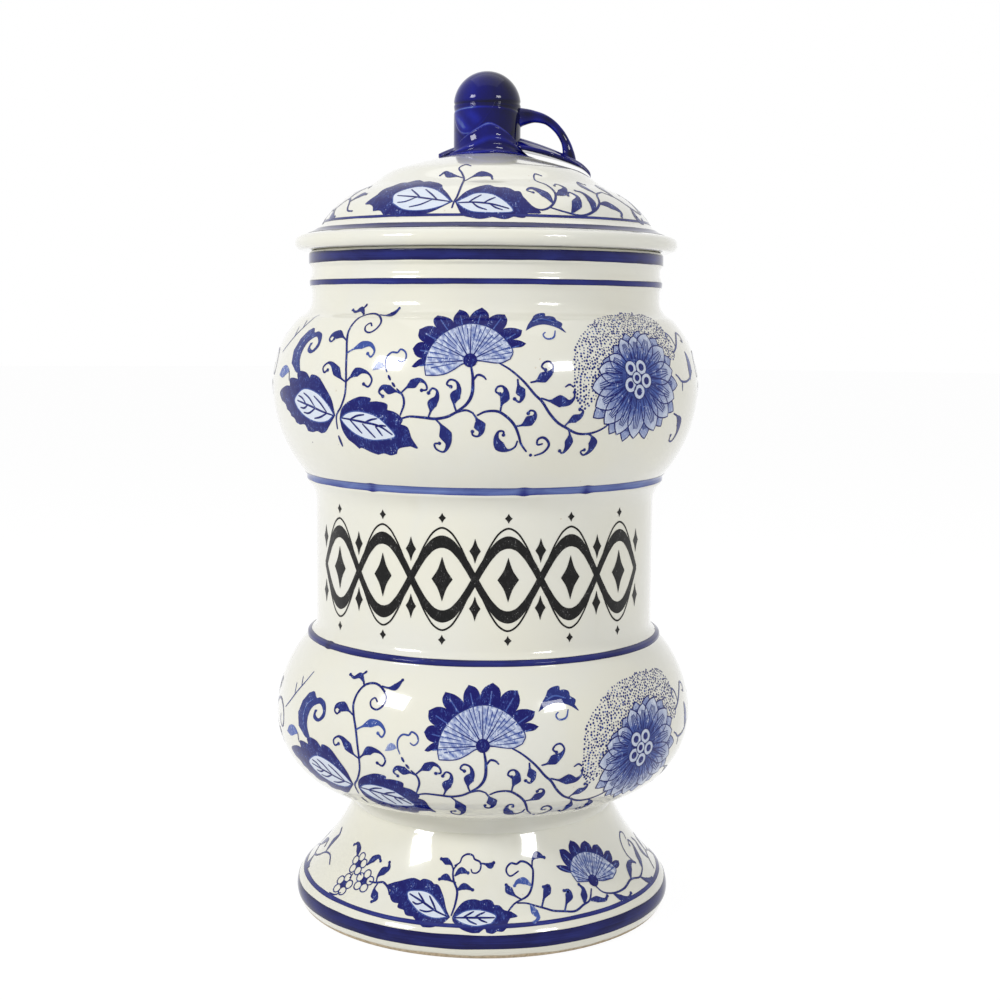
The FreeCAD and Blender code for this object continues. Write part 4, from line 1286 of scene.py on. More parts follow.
def stipple_tree() -> Tree:
    """Makes the tree that fills a flat patch with fine dots, evenly scattered."""
    tree = Tree(
        "stipple", Spacing="NodeSocketFloat", Dot="NodeSocketFloat", Seed="NodeSocketInt",
        Material="NodeSocketMaterial",
    )
    given = tree.given
    spots = tree.add(
        "GeometryNodeDistributePointsOnFaces", {"distribute_method": "POISSON"},
        {"Mesh": given["Geometry"], "Distance Min": given["Spacing"], "Density Max": 6.0e6, "Seed": given["Seed"]},
    )
    dot = tree.add(
        "GeometryNodeMeshCircle", {"fill_type": "TRIANGLE_FAN"}, {"Vertices": 6, "Radius": given["Dot"]},
    )[0]
    size = tree.add(
        "FunctionNodeRandomValue", {"data_type": "FLOAT"}, {2: 0.6, 3: 1.25, "Seed": given["Seed"]},
    )[1]
    marks = tree.add(
        "GeometryNodeInstanceOnPoints", {}, {"Points": spots["Points"], "Instance": dot, "Scale": size},
    )[0]
    real = tree.add("GeometryNodeRealizeInstances", {}, {"Geometry": marks})[0]
    tree.end(tree.add("GeometryNodeSetMaterial", {}, {"Geometry": real, "Material": given["Material"]})[0])
    return tree


@dataclass
class Surface:
    """A turned surface that takes ornament: its outline, where drawings start on it and their radius."""

    name: str
    outline: Outline
    datum: PAIR
    radius: float
    body: Body
    tree: Tree

    def __post_init__(self) -> None:
        """Makes the outline a curve, and finds the length along it of the datum."""
        points = self.outline.softened(0.7)
        data = bpy.data.curves.new(self.name + "_outline", "CURVE")
        data.dimensions = "3D"
        spline = data.splines.new("POLY")
        spline.points.add(len(points) - 1)
        for slot, (r, z) in zip(spline.points, points):
            slot.co = (r * MM, 0.0, z * MM, 1.0)
        self.curve = bpy.data.objects.new(self.name + "_outline", data)
        bpy.context.collection.objects.link(self.curve)
        near = np.argmin(np.linalg.norm(points - np.array(self.datum), axis=1))
        self.start = float(lengths([tuple(point) for point in points])[near])

    def lay(self, piece: bpy.types.Object, material: bpy.types.Material, slot: Slot, repeats: int = 1) -> None:
        """Lays a flat piece on the surface and settles it there."""
        self.tree.run(
            piece, Outline=self.curve, Datum=self.start * MM, Radius=self.radius * MM, Repeats=repeats,
            Material=material,
        )
        mesh = piece.data
        count = len(mesh.vertices)
        lean = np.empty(count * 3, dtype=np.float32)
        mesh.attributes["lean"].data.foreach_get("vector", lean)
        spots = np.empty(count * 3, dtype=np.float32)
        mesh.vertices.foreach_get("co", spots)
        lean = lean.reshape(-1, 3)
        spots = spots.reshape(-1, 3)
        reach = np.maximum(np.linalg.norm(spots[:, :2], axis=1), 1e-6)
        normals = np.stack([lean[:, 0] * spots[:, 0] / reach, lean[:, 0] * spots[:, 1] / reach, lean[:, 2]], axis=-1)
        mesh.attributes.remove(mesh.attributes["lean"])
        mesh.shade_smooth()
        mesh.normals_split_custom_set_from_vertices(normals.tolist())
        settle(piece, self.body, slot)

    def finish(self) -> None:
        """Removes the outline's curve once everything is laid."""
        data = self.curve.data
        bpy.data.objects.remove(self.curve)
        bpy.data.curves.remove(data)


def leaf_pair(sheet: Sheet, parts: Sequence[tuple[str, str, str, Sequence[str]]]) -> None:
    """Draws large serrated leaves.

    Args:
        sheet: the sheet to draw on.
        parts: for each leaf its dark outline, its pale inside, its midrib and its veins.
    """
    for dark, pale, midrib, veins in parts:
        sheet.fill(cornered(dark, sheet.FINE), 0.02, 0)
        sheet.fill(cornered(pale, sheet.FINE), 1.0, 1)
        rim = cornered(pale, sheet.FINE)
        sheet.stroke(np.vstack([rim, rim[:1]]), 0.4, 0.35, 2)
        sheet.vine(midrib, 0.7, 0.02, 3)
        for vein in veins:
            sheet.vine(vein, 0.62, 0.02, 3)


def fan_flower(sheet: Sheet, hub: PAIR, fan: str, tips: str, notches: str, hub_radius: float = 2.3) -> None:
    """Draws the half-open flower: a rayed pale fan in a crown of dark petals.

    Args:
        sheet: the sheet to draw on.
        hub: the round dark heart that the rays leave.
        fan: the fan's outline.
        tips: the points of the dark petals.
        notches: the hollows between them, one fewer than the tips.
        hub_radius: the heart's radius.
    """
    centre = np.array(hub)
    outline = cornered(fan, sheet.FINE)
    ends = np.array(knots(tips))
    hollows = np.array(knots(notches))
    crown = np.vstack([centre[None], (centre + ends[0] * 2.0) / 3.0, hollows, (centre + ends[-1] * 2.0) / 3.0])
    sheet.fill(crown, 0.0, 0)
    for number, tip in enumerate(ends):
        left = hollows[max(number - 1, 0)] if number else hollows[0] + (ends[0] - hollows[0]) * 0.1 + (ends[0] - ends[1]) * 0.35
        right = hollows[number] if number < len(hollows) else hollows[-1] + (ends[-1] - ends[-2]) * 0.55
        heart = centre + (tip - centre) * 0.52
        a = left + (tip - left) * 0.62 - (right - left) * 0.2
        b = right + (tip - right) * 0.62 + (right - left) * 0.2
        run = [tuple(heart), tuple(left), tuple(a)]
        back = [tuple(tip), tuple(b), tuple(right)]
        text = ", ".join(f"{x} {y}" for x, y in run) + "/" + ", ".join(f"{x} {y}" for x, y in back)
        sheet.fill(cornered(text, sheet.FINE), 0.0, 0)
        pale = centre + (tip - centre) * 0.62
        sheet.stroke(smooth_way([tuple(pale), tuple(pale + (tip - pale) * 0.62)], 0.5), 0.42, 0.42, 1)

    reach = float(np.linalg.norm(outline - centre, axis=1).max())

    def shade(points: np.ndarray) -> np.ndarray:
        """Mottled and rayed, bluest half way out."""
        away = points - centre
        far = np.linalg.norm(away, axis=1) / reach
        angle = np.arctan2(away[:, 1], away[:, 0])
        rays = 0.20 * np.sin(angle * 46.0) * far + 0.12 * np.sin(far * 31.0 + angle * 17.0)
        return 0.86 - 0.6 * far * (1.0 - far) + rays

    sheet.fill(outline, shade, 1)
    sheet.stroke(np.vstack([outline, outline[:1]]), 0.36, 0.1, 3)
    directions = outline - centre
    angles = np.unwrap(np.arctan2(directions[:, 1], directions[:, 0]))
    low, high = float(angles.min()), float(angles.max())
    count = 46
    for number in range(1, count):
        angle = low + (high - low) * number / count
        near = int(np.argmin(np.abs(angles - angle)))
        edge = outline[near]
        if float(np.linalg.norm(edge - centre)) < hub_radius * 1.8:
            continue
        bold = number % 4 == 0
        start = centre + (edge - centre) * (0.17 if bold else 0.5 - 0.22 * (number % 2))
        stop = centre + (edge - centre) * (0.97 if number % 3 else 0.86)
        line = smooth_way([tuple(start), tuple(stop)], 0.8)
        widths = np.linspace(0.5, 0.2, len(line)) if bold else np.linspace(0.22, 0.42, len(line))
        sheet.stroke(line, widths, 0.08 if bold else 0.26, 2)
    sheet.dot(hub, hub_radius, 0.0, 4)


def double_flower(sheet: Sheet, centre: PAIR, front: str, back: str) -> None:
    """Draws the full flower: two rows of outlined petals round a heart of six rings."""
    hub = np.array(centre)
    for row, level, width, tones in ((back, 0, 7.0, (0.14, 0.74)), (front, 3, 7.8, (0.18, 0.94))):
        for tip in knots(row):
            away = np.array(tip) - hub
            far = float(np.linalg.norm(away))
            start = hub + away / far * 3.2
            sheet.petal(tuple(start), tip, min(width, far * 0.46), tones, level, 4)
    sheet.dot(centre, 6.4, 0.25, 6)
    for x, y in knots("-2.3 3.2, 2.6 3.5, 4.5 -1, 1 -4.5, -3 -2.2"):
        spot = (centre[0] + x, centre[1] + y)
        sheet.dot(spot, 2.55, 0.9, 7)
        sheet.ring(spot, 2.5, 0.34, 0.05, 8)
        sheet.dot(spot, 1.25, 0.03, 8)
    sheet.dot(centre, 2.1, 0.9, 9)
    sheet.ring(centre, 2.05, 0.34, 0.05, 10)
    sheet.dot(centre, 1.05, 0.02, 10)


class Frieze:
    """The flowered frieze that runs round both bulbs."""

    LEFT_LEAF = (
        "-54 -8, -55 -3, -58 1, -62 4.5, -66.2 4.9/-66.6 3.9, -69 5.6, -73.5 6, -75 5.2/-74.4 3.3, -77.5 3.6,"
        "-80.5 3.1/-80.2 0.8, -84 0.6, -90.8 -2.2/-89 -4.6, -85 -6/-84.6 -7.4, -82 -8.5/-81.5 -9.6, -79 -10.4/"
        "-78.5 -11.6, -76 -12.3, -72 -12.2/-71 -14.3, -68 -14.5, -65 -14/-63 -14.6, -60.5 -14, -57 -11",
        "-54.6 -7.8, -57 -4.5, -62 -1, -69 0.3, -73 -1, -76.7 -4/-75 -6.6, -71 -9, -64 -10.7, -58 -10",
        "-55 -8, -60 -7, -66 -5.5, -74.5 -3.9",
        ("-64 -2, -61 -4, -58 -7", "-70 -1.2, -67 -2.6, -64 -5.5", "-73.5 -2.2, -71 -3, -69 -4.8",
         "-65 -9.5, -62 -9, -58 -7.5", "-71 -7.8, -68 -7.9, -64 -6.2", "-72.8 -6.2, -70.5 -6.3, -68 -5.2"),
    )
    RIGHT_LEAF = (
        "-52.2 -9, -51 -6, -49 -4, -45 -2, -42 -1.3, -38.5 -1.9/-38.9 -2.9, -36 -2.7, -32.4 -3.6/-32.6 -5.3,"
        "-29.6 -6.1, -27.2 -8.4/-28 -9.9, -25.8 -10.8, -24.6 -14.6, -22.9 -18.1/-25.5 -17.4, -30 -18.5/"
        "-31 -20.3, -33.5 -21, -36 -20.4/-38.5 -21, -41 -20.3, -45 -18.8/-46 -19.2, -48 -17.4, -50 -16, -51.7 -13",
        "-51.6 -9, -49.5 -7.4, -47 -6.5, -43 -6.2, -37 -7.5, -33 -10.5, -30.5 -14/-34 -15.3, -40 -15.7, -46 -14, -50 -11",
        "-51 -8.7, -47.5 -9, -42 -9.7, -36 -10.8, -31.5 -13.5",
        ("-47.5 -9, -44.5 -7.7, -41.5 -7.2", "-42 -10, -39 -8.8, -36.5 -8.3", "-37.5 -11, -35.5 -10.6, -33.5 -10.7",
         "-47.5 -9.2, -45.7 -11, -43.3 -13.5", "-42.5 -10.3, -40.7 -12.2, -38.2 -14.8", "-37.5 -11, -36.5 -12.3, -35.3 -14"),
    )
    FAN = (
        "-19.3 6, -19.8 9, -19 14, -15.5 19.5, -10 23, -5 24.2, 0.5 23, 5.5 19.5, 9 14/8 11.5, 5 10.2, 0 10.6,"
        "-2.7 11/-5 10.4, -7.5 9.7/-10 8, -13 6.5, -16 6"
    )
    FAN_TIPS = "-24.3 8.7, -24.7 14.7, -23.7 21.8, -18.5 28.3, -10.3 31, -1.5 31.8, 7.3 29, 12.8 21.8, 13.7 16.8"
    FAN_NOTCHES = "-21 11.5, -21 17, -17.5 22.5, -11.5 24.5, -6 27, 1 26.5, 6 22, 9 18"
    FLOWER_FRONT = (
        "35.5 2, 37 -4, 41 -9.7, 46.8 -13.5, 55 -15.2, 65 -12.8, 72 -8.3, 75 -2.3, 74.5 7, 72 14.8, 65 20.3,"
        "57.5 19.5, 50.5 18.5, 43.5 12.5, 38.5 8"
    )
    FLOWER_BACK = (
        "36.5 -7.5, 43.7 -13.2, 50.3 -16, 61 -15.6, 69 -11.6, 75.7 -6.7, 77.5 2, 75 11, 70 18.5, 61.5 21.5,"
        "54 20.5, 46.5 16, 40.5 10.8"
    )
    AURA = "29.3 2, 29.5 9, 31 15.5, 37 22.5, 45 27, 55 29.5, 68 30, 78 27, 79 12, 66 10, 50 8, 40 5, 37 -1, 33 -4.5, 30.5 -2"

    def __init__(self, sheet: Sheet) -> None:
        """Keeps the sheet to draw on."""
        self.sheet = sheet

    def leaves(self) -> None:
        """Draws the leaf pair with the stem that rises from it."""
        sheet = self.sheet
        leaf_pair(sheet, (self.LEFT_LEAF, self.RIGHT_LEAF))
        sheet.vine("-53.6 -18.6, -54.2 -15", 0.9)
        sheet.vine("-54 -12.5, -53.4 -8, -51 -5, -49 -1, -48.6 3, -49.2 8, -50.3 13, -52 17.5, -53 21, -52.3 25,"
                   "-50 28, -46 28.9, -42.5 27.5, -40 24.5, -40.8 21.8, -43 20.3, -45.3 21, -46 22.8, -44.5 24.1,"
                   "-43.3 22.9", 0.8)
        sheet.vine("-50.3 27.3, -51.8 29.5", 0.7)
        sheet.leaflet("-51 28.6, -54 30.8, -56.5 29.7, -58.8 30.5", 1.9)
        sheet.leaflet("-53.8 30.6, -51.9 32.4", 0.9)
        sheet.leaflet("-43 28.3, -40 28, -37.5 28.6, -35.4 31.2", 2.2, 2)
        sheet.leaflet("-52.3 17.3, -54.3 18.4, -57.2 19.3, -60.3 19.2, -61 17.6, -59.5 16.6, -58.5 17.6", 3.1, 2)
        sheet.leaflet("-50.2 12.7, -47.5 14.2, -44.5 15.6, -41 15.9, -38.7 13.5, -39.7 11.6, -41.2 12.7", 2.5, 2, 0.34)
        sheet.leaflet("-48.8 3.2, -51 4.4, -53.3 6.6, -56 8.9, -58 9.2, -60 7.5, -59.2 6, -57.5 6.8", 3.1, 2)
        sheet.leaflet("-48.6 3.2, -46.8 4.8, -44.6 6.4, -42.3 6.9, -39.5 6, -38.2 4, -39.5 1.9, -41.3 2.7", 2.7, 2)

    def acanthus(self) -> None:
        """Draws the curled acanthus leaf over the left leaf and the lens leaf beside it."""
        sheet = self.sheet
        text = (
            "-73 5.6, -75.2 10.5, -74.3 15, -71.8 17.4, -69 18.2, -66.8 15.9, -68.6 13.4, -70.7 14.5, -70 16/"
            "-71.6 15.9, -71.8 13.2, -68.8 12.2, -65.4 14.8, -66.4 19, -70 20.4, -72 19.9, -74.5 21.7/-77.5 20.7,"
            "-79 19/-80.6 17.3, -81.4 14.8/-82.3 13, -81.5 10.5/-81 8.4, -78.8 7.2, -75.8 5.4"
        )
        sheet.fill(cornered(text, sheet.FINE), 0.12, 0)
        sheet.vine("-76 8, -78 12, -77 16.5, -74 19", 0.45, 0.5, 2)
        sheet.fill(cornered("-92 4, -89 6.8, -85 7.6, -81.7 5.7/-84.5 4.4, -88 3.2", sheet.FINE), 0.5, 0)
        sheet.vine("-81.7 5.7, -81 2.5", 0.5)
        sheet.vine("-95 12, -91 15, -87 19, -82.5 24, -80 28", 0.5, 0.2)
        sheet.vine("-88 18, -89.5 22", 0.45, 0.2)
        sheet.vine("-84.5 21.7, -86.2 25", 0.45, 0.2)

    def sprigs(self) -> None:
        """Draws the small curled sprig between the leaf pair and the fan flower."""
        sheet = self.sheet
        sheet.vine("-28 -7, -26.5 -3, -27 -0.5, -29 1.5", 0.7)
        sheet.vine("-29.7 2.2, -30.7 3.4", 0.8)
        sheet.vine("-31.4 4.3, -32.2 5.7", 0.8)
        sheet.vine("-32.8 6.8, -33.7 9, -33.6 11.6, -32 13.3, -29.8 13.3, -29 14.4, -27 13.4, -26.6 11.3, -28 10.1,"
                   "-29.3 10.8", 0.6, 0.3)
        sheet.fill(cornered("-33.9 8.6, -35.2 10, -36.8 9.9/-38.3 7.2, -36 7.6", sheet.FINE), 0.6, 0)
        sheet.leaflet("-27.5 0, -29.3 0.7, -31.5 1.1, -34 1.9, -35.4 0.3, -34 -1", 2.7, 2)
        sheet.leaflet("-27.2 0.5, -25.5 2, -23.5 3.2, -21.3 4.4, -19.3 3.4, -18.8 1.5, -20.5 1.2", 2.7, 2)

    def low_vine(self) -> None:
        """Draws the vine that runs under the fan flower, with its leaves."""
        sheet = self.sheet
        sheet.vine("-27.6 -8, -25 -7.3, -20 -7.5, -16 -7.8, -12 -7, -9 -5.5, -6 -4.9, -4 -5.7", 0.85)
        sheet.vine("-2.5 -6.5, 0 -5.3, 4 -5.2, 7 -7, 9.5 -9.7, 11 -13, 12 -16, 14 -18.7", 0.85)
        sheet.dot((15.6, -20.0), 0.6, 0.1)
        sheet.vine("17 -20.2, 20 -19, 21.6 -16.5, 20.5 -14.5, 19 -13.8, 17.5 -14.6, 17.6 -16.3, 19.3 -16", 0.8)
        sheet.leaflet("-18.5 -7.5, -17.6 -5.4, -17 -3, -15.5 -1, -15.5 1.2, -17 1.9, -18.2 0.4", 2.9, 2)
        sheet.leaflet("-9.3 -5.2, -9.9 -3, -9.5 -0.4, -8.4 1.6, -9.2 4.1, -11.3 4.7, -12.3 3.3, -11 2.5", 3.1, 2)
        sheet.leaflet("-16 -8, -14.3 -9.9, -13 -13, -12.3 -16.3, -14 -19, -16.5 -18, -16.9 -16.3, -15.2 -16", 3.9, 2)
        sheet.leaflet("-4 -5.7, -2.8 -7.5, -1.7 -10, -1.3 -12, -2.4 -13.4, -4.1 -12.9, -4.1 -11.8", 3.5, 2)
        sheet.leaflet("4.8 -5.3, 5.2 -3, 6.2 -0.6, 6.5 1.3, 5.4 2.8, 3.8 2.5, 3.3 1.1, 4.6 0.4", 2.9, 2)
        sheet.leaflet("10 -10, 12 -9.6, 14.2 -8.3, 16 -6.8, 15.9 -5.3, 14.5 -4.9, 13.8 -5.8", 3.1, 2)
        sheet.leaflet("10.7 -15, 10 -17, 7.6 -18.2, 4.9 -16.8, 3.7 -13.9, 4.5 -11.7, 6 -11.8, 6 -12.9", 3.2, 3)

    def fan(self) -> None:
        """Draws the half-open flower with its stem."""
        sheet = self.sheet
        fan_flower(sheet, (-5.0, 11.0), self.FAN, self.FAN_TIPS, self.FAN_NOTCHES)
        sheet.vine("-4.6 9, -4 5, -4.3 0, -6 -3, -9 -5.3", 0.95)
        sheet.vine("-3.8 4.6, -2.5 6.3, -0.7 5.9, 0.2 4.9", 0.7)

    def high_vine(self) -> None:
        """Draws the vine from the fan flower to the double flower, with its leaves."""
        sheet = self.sheet
        sheet.vine("4.6 10.1, 8 8, 11 5.5, 13 3.5, 16 0, 18 -1.8, 21 -6, 24 -9, 27 -10.7, 31 -12.6, 35 -12.9, 39 -12,"
                   "42 -10.5, 45 -8", 0.8)
        sheet.leaflet("14.5 4, 16.3 4.4, 18.7 5.6, 21.3 7.2, 22.3 9, 21 10.7, 19.3 10.4, 18.3 9, 19.5 8", 3.1, 2)
        sheet.leaflet("10.3 5, 10.5 3, 11.2 1.2, 11.8 -0.5, 10.8 -2.2, 9.3 -1.2", 2.9, 2)
        sheet.leaflet("18 -1, 21 -1.9, 24.3 -2, 27.5 -2.4, 29.2 -0.8, 29.2 0.8", 3.5, 2)
        sheet.vine("28.9 2.4, 27.6 3.3, 26 2.5", 0.6)
        sheet.leaflet("26.5 -10, 27.6 -8.9, 29.5 -7.8, 31.8 -6.8, 32.5 -5.2, 31.3 -4.7", 2.5, 2)
        sheet.leaflet("28 -11.5, 28.5 -13, 28.6 -15.3, 28 -18, 26.8 -19.5, 25.7 -18.6", 2.7, 2)
        sheet.leaflet("35.5 -13, 36.8 -13.8, 37.8 -16, 37.2 -18.9, 35 -20.4, 33.7 -19.1, 35 -18.5", 3.1, 2)

    def crest(self) -> None:
        """Draws the crest leaf that flies over the high vine."""
        sheet = self.sheet
        text = (
            "14 21.5, 15.2 24, 17.2 26.6/18.2 28.4, 19.8 29.4, 23 29.7/22.9 28.3, 24.6 28.4, 26.2 27.7/26.4 26,"
            "28.3 24.6/27.6 23, 28.8 20.8/26.4 22.4, 24.3 23.4, 21 24.1, 17.3 23.3"
        )
        sheet.fill(cornered(text, sheet.FINE), 0.1, 0)
        sheet.vine("17.2 25.2, 20.5 26.5, 24.6 25.4", 0.5, 0.5, 2)
        sheet.vine("24.8 21.6, 23.6 19, 21 18.6, 20 20, 21 21", 0.6, 0.4)

    def flower(self) -> None:
        """Draws the double flower and what grows on its right."""
        sheet = self.sheet
        double_flower(sheet, (54.0, 5.0), self.FLOWER_FRONT, self.FLOWER_BACK)
        sheet.vine("77 5.6, 79 4.6, 81 3.3, 86 3, 90 4, 94 6.5", 0.7, 0.15)
        sheet.vine("82 3, 82 0", 0.6, 0.15)
        sheet.fill(cornered("90.5 3, 93.6 6.5, 93.4 10.5, 91 13.5/90 10, 89.6 6.5", sheet.FINE), 0.25, 0)
        sheet.vine("79 13, 83 15, 88 18.5, 92 20.5, 94.5 19, 93.6 16.8, 91.8 17.6", 0.8, 0.15)
        sheet.vine("83 15.4, 82.4 18.6, 80.4 20.4, 78.6 19, 79.4 17.2", 0.65, 0.2)
        sheet.leaflet("76.5 -7.6, 79.5 -8.6, 82.6 -11, 83.2 -14.6, 81 -17.6, 78.4 -17.2, 78.2 -15.4", 3.3, 2)

    def filler(self) -> None:
        """Draws the trailing sprig that closes the gap between two prints at the sides."""
        sheet = self.sheet
        for flip in (False, True):
            base = sheet.origin
            scale = sheet.scale
            sheet.frame(base[0] + 121.0, base[1], scale, flip)
            sheet.vine("0 -14, 2.5 -8, 3 -2, 1 4, -3 9, -8 12.5, -14 13, -18.5 10.5, -19.5 6.5, -17 4, -14 5.5,"
                       "-14.8 8.2", 0.8)
            sheet.leaflet("2.9 -3.5, 5.4 -1.6, 8.2 0.4, 11 1.2, 13.2 -0.6, 12.2 -2.8", 3.1, 2)
            sheet.leaflet("1.6 3, -1.2 2.2, -4.2 0.6, -6.8 -1.4, -8.6 -0.2, -8 1.8", 2.9, 2)
            sheet.leaflet("-3.4 9.3, -2.2 12.2, -1.6 15.8, -3.2 18.8, -5.8 18.2, -5.6 16.4", 2.9, 2)
            sheet.frame(base[0], base[1], scale)

    def draw(self) -> None:
        """Draws the whole frieze."""
        self.leaves()
        self.acanthus()
        self.sprigs()
        self.low_vine()
        self.fan()
        self.high_vine()
        self.crest()
        self.flower()
        self.filler()


class FootSprays:
    """The sprays round the foot: blossoms, a leaf pair, scrolls and a fan flower."""

    LEAVES = (
        (
            "-10 3.4, -11.5 6, -13.5 11, -16 14.5/-17.5 14.6, -19 15.6, -22 15.9/-23 15.2, -26 15.7, -31 13.8/"
            "-33 13, -35.5 11.3/-33.4 10, -33 8.5/-31.8 6.8, -30.5 6/-28.5 6, -28.3 4.6/-25.8 4, -24.5 2.4/-22 2.2,"
            "-19.8 0.3/-18 -1, -15 -0.7, -12 1",
            "-10.8 3.4, -14 7.5, -18 11, -22 11.7, -26.5 10.5/-25.5 8, -20 4, -15 2.6",
            "-11 3.6, -15 5.2, -20 7.8, -25.5 10",
            ("-15 5.4, -16.2 7.4, -18.2 10.2", "-19 7.2, -20.4 8.8, -22.4 10.8", "-15.6 5.4, -18 4.6, -20.4 4.9",
             "-20 7.6, -22 6.8, -23.6 7.4"),
        ),
        (
            "-9.4 3.4, -8.5 6, -6 9.3, -2.7 10.2/-0.5 9.7, 1.5 10.2, 3.5 9.6/4.2 8.2, 6 7.9, 7.2 6.4/9.6 5.6,"
            "11.5 3.8/9 3.2, 8 1.5/7.4 -0.4, 6.3 -1.4/4.6 -1.2, 3.3 -2/1.4 -1.6, 1 -0.4/-0.8 -1.7, -2.9 -1.8/"
            "-5 -1.2, -6.4 -0.5, -9 2",
            "-9 3.3, -5 6, 0 6.3, 4.6 4.2/3 1.5, -2 0.5, -6 1.5",
            "-8.6 3.3, -5 3.5, 0 3.6, 4 3.6",
            ("-6 3.4, -4.4 4.6, -2.6 5.8", "-2.4 3.6, -0.8 4.7, 1 5.6", "-5 3.4, -3.6 2.2, -1.6 1.2",
             "-1.4 3.6, 0 2.6, 1.6 1.9"),
        ),
    )
    FAN = "36.3 12.8, 35.2 17, 38 21, 43.5 22.3, 49.5 20.8, 54.5 17.2, 57.4 12.6/53 10.2, 48 10.6, 43.4 11.8, 40 12.2"
    FAN_TIPS = "29.6 19.8, 33 25, 39.7 27.3, 47.5 25.8, 54 23, 59.6 19.3, 62 14.6"
    FAN_NOTCHES = "34.8 18.6, 38 22.4, 43.6 23.4, 49.6 22, 54.6 18.6, 57.4 15.2"

    def __init__(self, sheet: Sheet) -> None:
        """Keeps the sheet to draw on."""
        self.sheet = sheet

    def blossoms(self) -> None:
        """Draws the cluster of small round blossoms with its twigs."""
        sheet = self.sheet
        for x, y in ((-53.0, 15.2), (-46.0, 10.4), (-54.4, 6.6)):
            for number in range(5):
                turn = number * TURN / 5.0 + 0.3
                sheet.ring((x + 2.7 * math.cos(turn), y + 2.7 * math.sin(turn)), 1.6, 0.45, 0.08)
            sheet.dot((x, y), 1.4, 0.02, 3)
        sheet.vine("-53 11.5, -53.4 9.5", 0.5)
        sheet.vine("-50 12.6, -48.6 12", 0.5)
        sheet.vine("-43.6 11, -42 11, -40 11.3, -37.5 12, -34.5 10.4, -33 8.3", 0.75)
        sheet.vine("-53 3.6, -55 2, -58 1.8", 0.55)
        sheet.leaflet("-40.4 11.4, -40.9 13.4, -39.6 15.6, -37.7 17.2, -38.2 19.2", 2.8, 2)
        sheet.leaflet("-39.6 11, -39.9 9, -38.7 7, -37.4 5.6, -38.4 4.4", 2.6, 2)
        sheet.leaflet("-56 17.4, -57 19.6, -59.6 21.4, -61.6 20.4", 2.4, 1)
        sheet.leaflet("-48.4 16, -46.6 18.6, -44.2 20, -42.6 18.8", 2.4, 1)

    def scrolls(self) -> None:
        """Draws the stem over the leaf pair and the scrolls beside it."""
        sheet = self.sheet
        sheet.vine("-9.7 4, -8.8 9, -8.8 13, -10.5 16.5, -11 20, -9.6 22", 0.75)
        sheet.leaflet("-9.6 15.6, -11.4 16.2, -13.6 17.3, -15.8 16.4", 2.3, 2)
        sheet.leaflet("-10.9 19.6, -12 21.8, -14.2 22.8, -16.4 23.4", 2.3, 2)
        sheet.leaflet("-8.8 13, -6.4 14.5, -3.3 13.4", 2.2)
        sheet.leaflet("-10.2 18, -8 19.9, -5.3 19.2", 2.2)
        sheet.vine("-10.7 21.5, -8.7 22.7, -8 24.5, -6 25.6, -3.7 25.2, -3 24, -0.8 23, -0.6 20.7, -2 19.3, -3.7 19.4,"
                   "-4.2 20.5", 0.65)
        sheet.leaflet("-0.8 22.6, 1 22.4, 3.2 21.8, 4.6 22.8", 2.0, 2)
        sheet.vine("8 5, 11 8.3, 16 10.8, 18 13.5, 19.5 18, 19.7 20, 18 22, 15.5 22.8, 13.5 22, 11.5 22.4, 9.6 21,"
                   "9.3 19.5, 10.5 18, 14 19.5", 0.75)
        sheet.leaflet("19.6 20.4, 20.4 23, 22.4 24.4, 25.5 23.2", 2.4, 2)
        sheet.leaflet("13.4 9.8, 11.4 11.2, 9.6 13.2, 8.8 15", 2.6, 2)
        sheet.leaflet("18.2 14, 15.6 16, 13 15.8, 11.8 14.6", 2.3, 1, 0.4)
        sheet.vine("12 8.5, 15 8.2, 18 7, 21 5.7, 23.5 4.5, 27 3.7, 31 3, 35 4.5, 38 5.5, 41 9.3", 0.75)
        sheet.leaflet("20 6.2, 21.6 9.3, 23.4 11.6, 24.4 13.2, 22.4 13.2", 2.6, 2)
        sheet.leaflet("16.4 7.8, 17.2 5, 18 2.6, 16.4 1.2", 2.2, 1, 0.4)
        sheet.leaflet("27.5 3.7, 29 6.2, 31 8.6, 31.4 10.4, 29.8 10.8", 2.6, 2)
        sheet.leaflet("35.6 4.8, 36.8 7.6, 37.6 10, 36.6 11.8", 2.4, 1)
        sheet.leaflet("38 5.6, 41 5.2, 44.3 4.2, 46 5.2", 2.2, 1)

